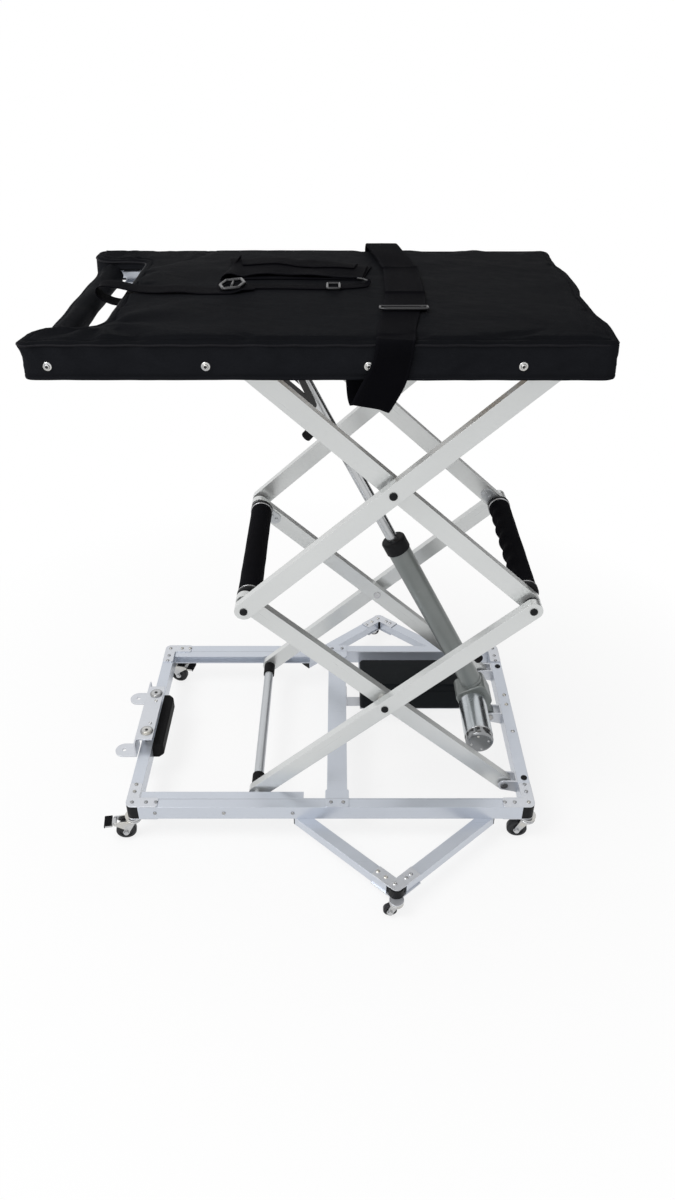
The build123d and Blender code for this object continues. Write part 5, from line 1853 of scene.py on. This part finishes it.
    def _wing_screws(self) -> None:
        """Set pan head screws on the wings' apex plates and along the right end rail."""
        plates = Ground(*(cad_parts[name] for name in ("frame_plates", "wing_tubes", "base_rails")))
        made = []
        for side in (-1, 1):
            apex = Vector((self.wing_apex[0], side * self.wing_apex[1], 0.0))
            for foot, reaches in zip(self.wing_feet, self.wing_screws):
                way = (Vector((foot, side * self.castor_y, 0.0)) - apex).normalized()
                for spot in (apex + way * reach for reach in reaches):
                    level = plates.level(spot.x, spot.y)
                    if level is not None and level < self.wing_top:
                        made.append(turned("screw", PAN_HEAD, (spot.x, spot.y, level), UP, 20))
        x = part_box("base_rails")[1].x - self.rail_screw_inset
        made += [turned("screw", PAN_HEAD, (x, y, self.rail_top), UP, 20) for y in self.rail_screw_places]
        screws = joined("frame_top_screws", made)
        sharp_edges(screws)
        self.wardrobe.fit(screws, ZINC, "base", Slot.ZINC)

    def _motor_rings(self) -> None:
        """Set a joint ring, vents as black patches of painted shade, end screws and a plain plate on the
        motor.
        """
        low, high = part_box("motor")
        cap_low, cap_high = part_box("motor_cap")
        centre = (cap_low + cap_high) / 2
        way = (centre - (low + high) / 2).normalized()
        motor = RoundBody(centre, way)
        spots = [vertex.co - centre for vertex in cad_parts["motor_cap"].data.vertices]
        reaches = [spot.dot(way) for spot in spots]
        radius, start = max((spot - way * spot.dot(way)).length for spot in spots), min(reaches)
        ring = turned("motor_ring", [
            (start - 0.0020, radius - 0.0010), (start - 0.0014, radius + 0.0006),
            (start + 0.0022, radius + 0.0006), (start + 0.0028, radius - 0.0010)], centre, way, 48)
        self.wardrobe.fit(ring, ZINC, "actuator", Slot.ZINC)
        # painted shade: each vent is a thin black patch on the cap for the shade in its opening
        slots = []
        for step in range(self.vents):
            angle = FULL_TURN * step / self.vents
            slots.append(motor.patch("vent", radius + 0.0003, (start + 0.0050, start + 0.0125),
                                     (angle - self.vent_half, angle + self.vent_half), 4))
        self.wardrobe.fit(joined("motor_vent_shade", slots), BLACK_COAT_AND_SHADE, "actuator", Slot.STEEL)
        heads = []
        for step in range(self.cap_screws):
            out = motor.out(FULL_TURN * (step + 0.5) / self.cap_screws)
            spot = centre + way * (max(reaches) - 0.0012) + out * (radius * self.cap_screw_circle)
            heads.append(turned("head", CAP_HEAD, spot, way, 18))
        self.wardrobe.fit(joined("motor_cap_screws", heads), ZINC, "actuator", Slot.ZINC)
        plate = motor.patch("motor_plate", radius + 0.0004, (start - 0.046, start - 0.022), (0.30, 0.86), 10)
        self.wardrobe.fit(plate, ACTUATOR_GREY, "actuator", Slot.PAINT)


# Carried-over solids


@dataclass
class SolidFinishes:
    """Which finish each carried-over solid wears."""

    wardrobe: Wardrobe
    worn: Tuple[Tuple[Finish, str], ...] = (
        (BASE_RAIL, "base_rails"),
        (RAIL, "base_tracks wing_tubes platform_frame platform_tracks"),
        (PLATE, "frame_plates hitch_bracket control_box_tray arm_clevises actuator_clevis"),
        (ARM_LEFT, "lower_inner_arms upper_inner_arms"),
        (ARM_RIGHT, "lower_outer_arms upper_outer_arms"),
        (AXLE, "slider_axle upper_fixed_axle upper_slider_axle left_handle right_handle"),
        (SCREW_ZINC, "base_fasteners"),
        (ZINC, "castor_mounts lower_pivot_pins upper_pivot_pins"),
        (ROD, "actuator_rod"),
        (ACTUATOR_GREY, "actuator_tube gearbox"),
        (MOTOR_GREY, "motor"),
        (CAP_METAL, "motor_cap"),
        (BLACK_COAT_AND_SHADE, "lift_yoke"),
        (BLACK_PLASTIC, "actuator_collar frame_blocks platform_pivots lower_rollers upper_rollers"),
        (BOX_PLASTIC, "control_box"),
        (RUBBER, "hitch_bumper lower_rubber_parts upper_bumpers motor_cable"),
        (BOARD, "deck_board"),
        (CLOTH, "platform_cover"),
        (BELT, "lashing_strap shoulder_strap"),
        (FOAM, "grab_bar_foam left_grip right_grip"),
    )
    endings: Tuple[Tuple[str, Finish], ...] = (("_wheel", TREAD), ("_fork", ZINC), ("_pedal", ZINC))

    def dress(self) -> None:
        """Dress every carried-over solid."""
        finishes = {name: finish for finish, names in self.worn for name in names.split()}
        for name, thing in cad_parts.items():
            ending = next((finish for end, finish in self.endings if name.endswith(end)), None)
            finish = finishes.get(name, ending)
            if finish is None:
                log.warning("no finish for %s", name)
                continue
            self.wardrobe.put(thing, finish)


# Studio


@dataclass
class Studio:
    """The camera, the pale floor, the white surround and soft lamps."""

    wardrobe: Wardrobe
    focal: float = 875.0
    frame_height: float = 1200.0
    pitch: float = 34.81
    eye: Point = (0.04706, -1.779, 1.744)
    floor_half: float = 30.0
    floor_level: float = -0.0005
    ambient: float = 0.55

    def build(self) -> None:
        """Set up the camera, the floor and the light."""
        self._camera()
        self._floor()
        self._world()
        self._flag()
        self._lamp("key_lamp", (-2.0, -1.2, 3.8), (0.0, 0.0, 0.6), 2.0, 80.0)
        self._lamp("fill_lamp", (-0.6, -3.2, 1.8), (0.0, 0.0, 0.6), 1.6, 10.0)

    def _camera(self) -> None:
        """Place the camera at the photograph's viewing angle."""
        data = bpy.data.cameras.new("camera")
        data.sensor_fit = "VERTICAL"
        data.sensor_height = 36.0
        data.lens = self.focal / self.frame_height * data.sensor_height
        data.clip_start = 0.05
        camera = bpy.data.objects.new("camera", data)
        camera.location = self.eye
        camera.rotation_euler = (math.radians(90.0 - self.pitch), 0.0, 0.0)
        bpy.context.scene.collection.objects.link(camera)
        bpy.context.scene.camera = camera

    def _floor(self) -> None:
        """Lay the floor."""
        size, level = self.floor_half, self.floor_level
        floor = make_mesh("floor", [(-size, -size, level), (size, -size, level), (size, size, level),
                                    (-size, size, level)], [(0, 1, 2, 3)], smooth=False)
        self.wardrobe.put(floor, FLOOR)

    def _flag(self) -> None:
        """Stand a dark card far off on the right, which gives the metal's right-hand faces their shade."""
        far, near, back, foot, tall = 3.4, -0.5, 8.0, 0.02, 3.2
        corners = [(far, near, foot), (far, back, foot), (far, back, tall), (far, near, tall)]
        card = make_mesh("dark_card", corners, [(0, 1, 2, 3)], smooth=False)
        self.wardrobe.put(card, CARD)
        card.visible_camera = False
        card.visible_diffuse = False
        card.visible_shadow = False

    def _world(self) -> None:
        """Surround the cart with white for the camera, mirrors and glass, and plain light for the rest."""
        world = bpy.data.worlds.new("surround")
        world.use_nodes = True
        graph = NodeGraph(world.node_tree)
        plain, white = (graph.node("ShaderNodeBackground", inputs={"Color": WHITE, "Strength": strength})
                        for strength in (self.ambient, 1.0))
        mix = graph.node("ShaderNodeMixShader", inputs={
            0: graph.ray("Camera", "Transmission", "Glossy"), 1: plain.outputs[0], 2: white.outputs[0]})
        graph.node("ShaderNodeOutputWorld", inputs={0: mix.outputs[0]})
        bpy.context.scene.world = world
        bpy.context.scene.view_settings.view_transform = "Standard"

    def _lamp(self, name: str, place: Point, aim: Point, size: float, power: float) -> None:
        """Hang one soft square lamp.

        Args:
            name: the lamp's name.
            place: where it hangs.
            aim: what it faces.
            size: the length of its side.
            power: its power in watts.
        """
        data = bpy.data.lights.new(name, "AREA")
        data.size = size
        data.energy = power
        lamp = bpy.data.objects.new(name, data)
        lamp.location = place
        way = Vector(aim) - Vector(place)
        lamp.rotation_euler = way.to_track_quat("-Z", "Y").to_euler()
        bpy.context.scene.collection.objects.link(lamp)


def main() -> None:
    """Build the studio, dress the solids and add the soft and small pieces."""
    logging.basicConfig(level=logging.INFO, format="%(message)s")
    wardrobe = Wardrobe()
    Studio(wardrobe).build()
    SolidFinishes(wardrobe).dress()
    cover = PlatformCover(wardrobe).build()
    GrabBar(wardrobe).build()
    LashingStrap(wardrobe).build(cover)
    ShoulderStrap(wardrobe).build(cover)
    HandGrip(wardrobe, "left_grip", "lower_inner", GripStyle.PLAIN).build()
    HandGrip(wardrobe, "right_grip", "upper_inner", GripStyle.WAVED).build()
    SmallHardware(wardrobe).build()


if __name__ == "__main__":
    main()
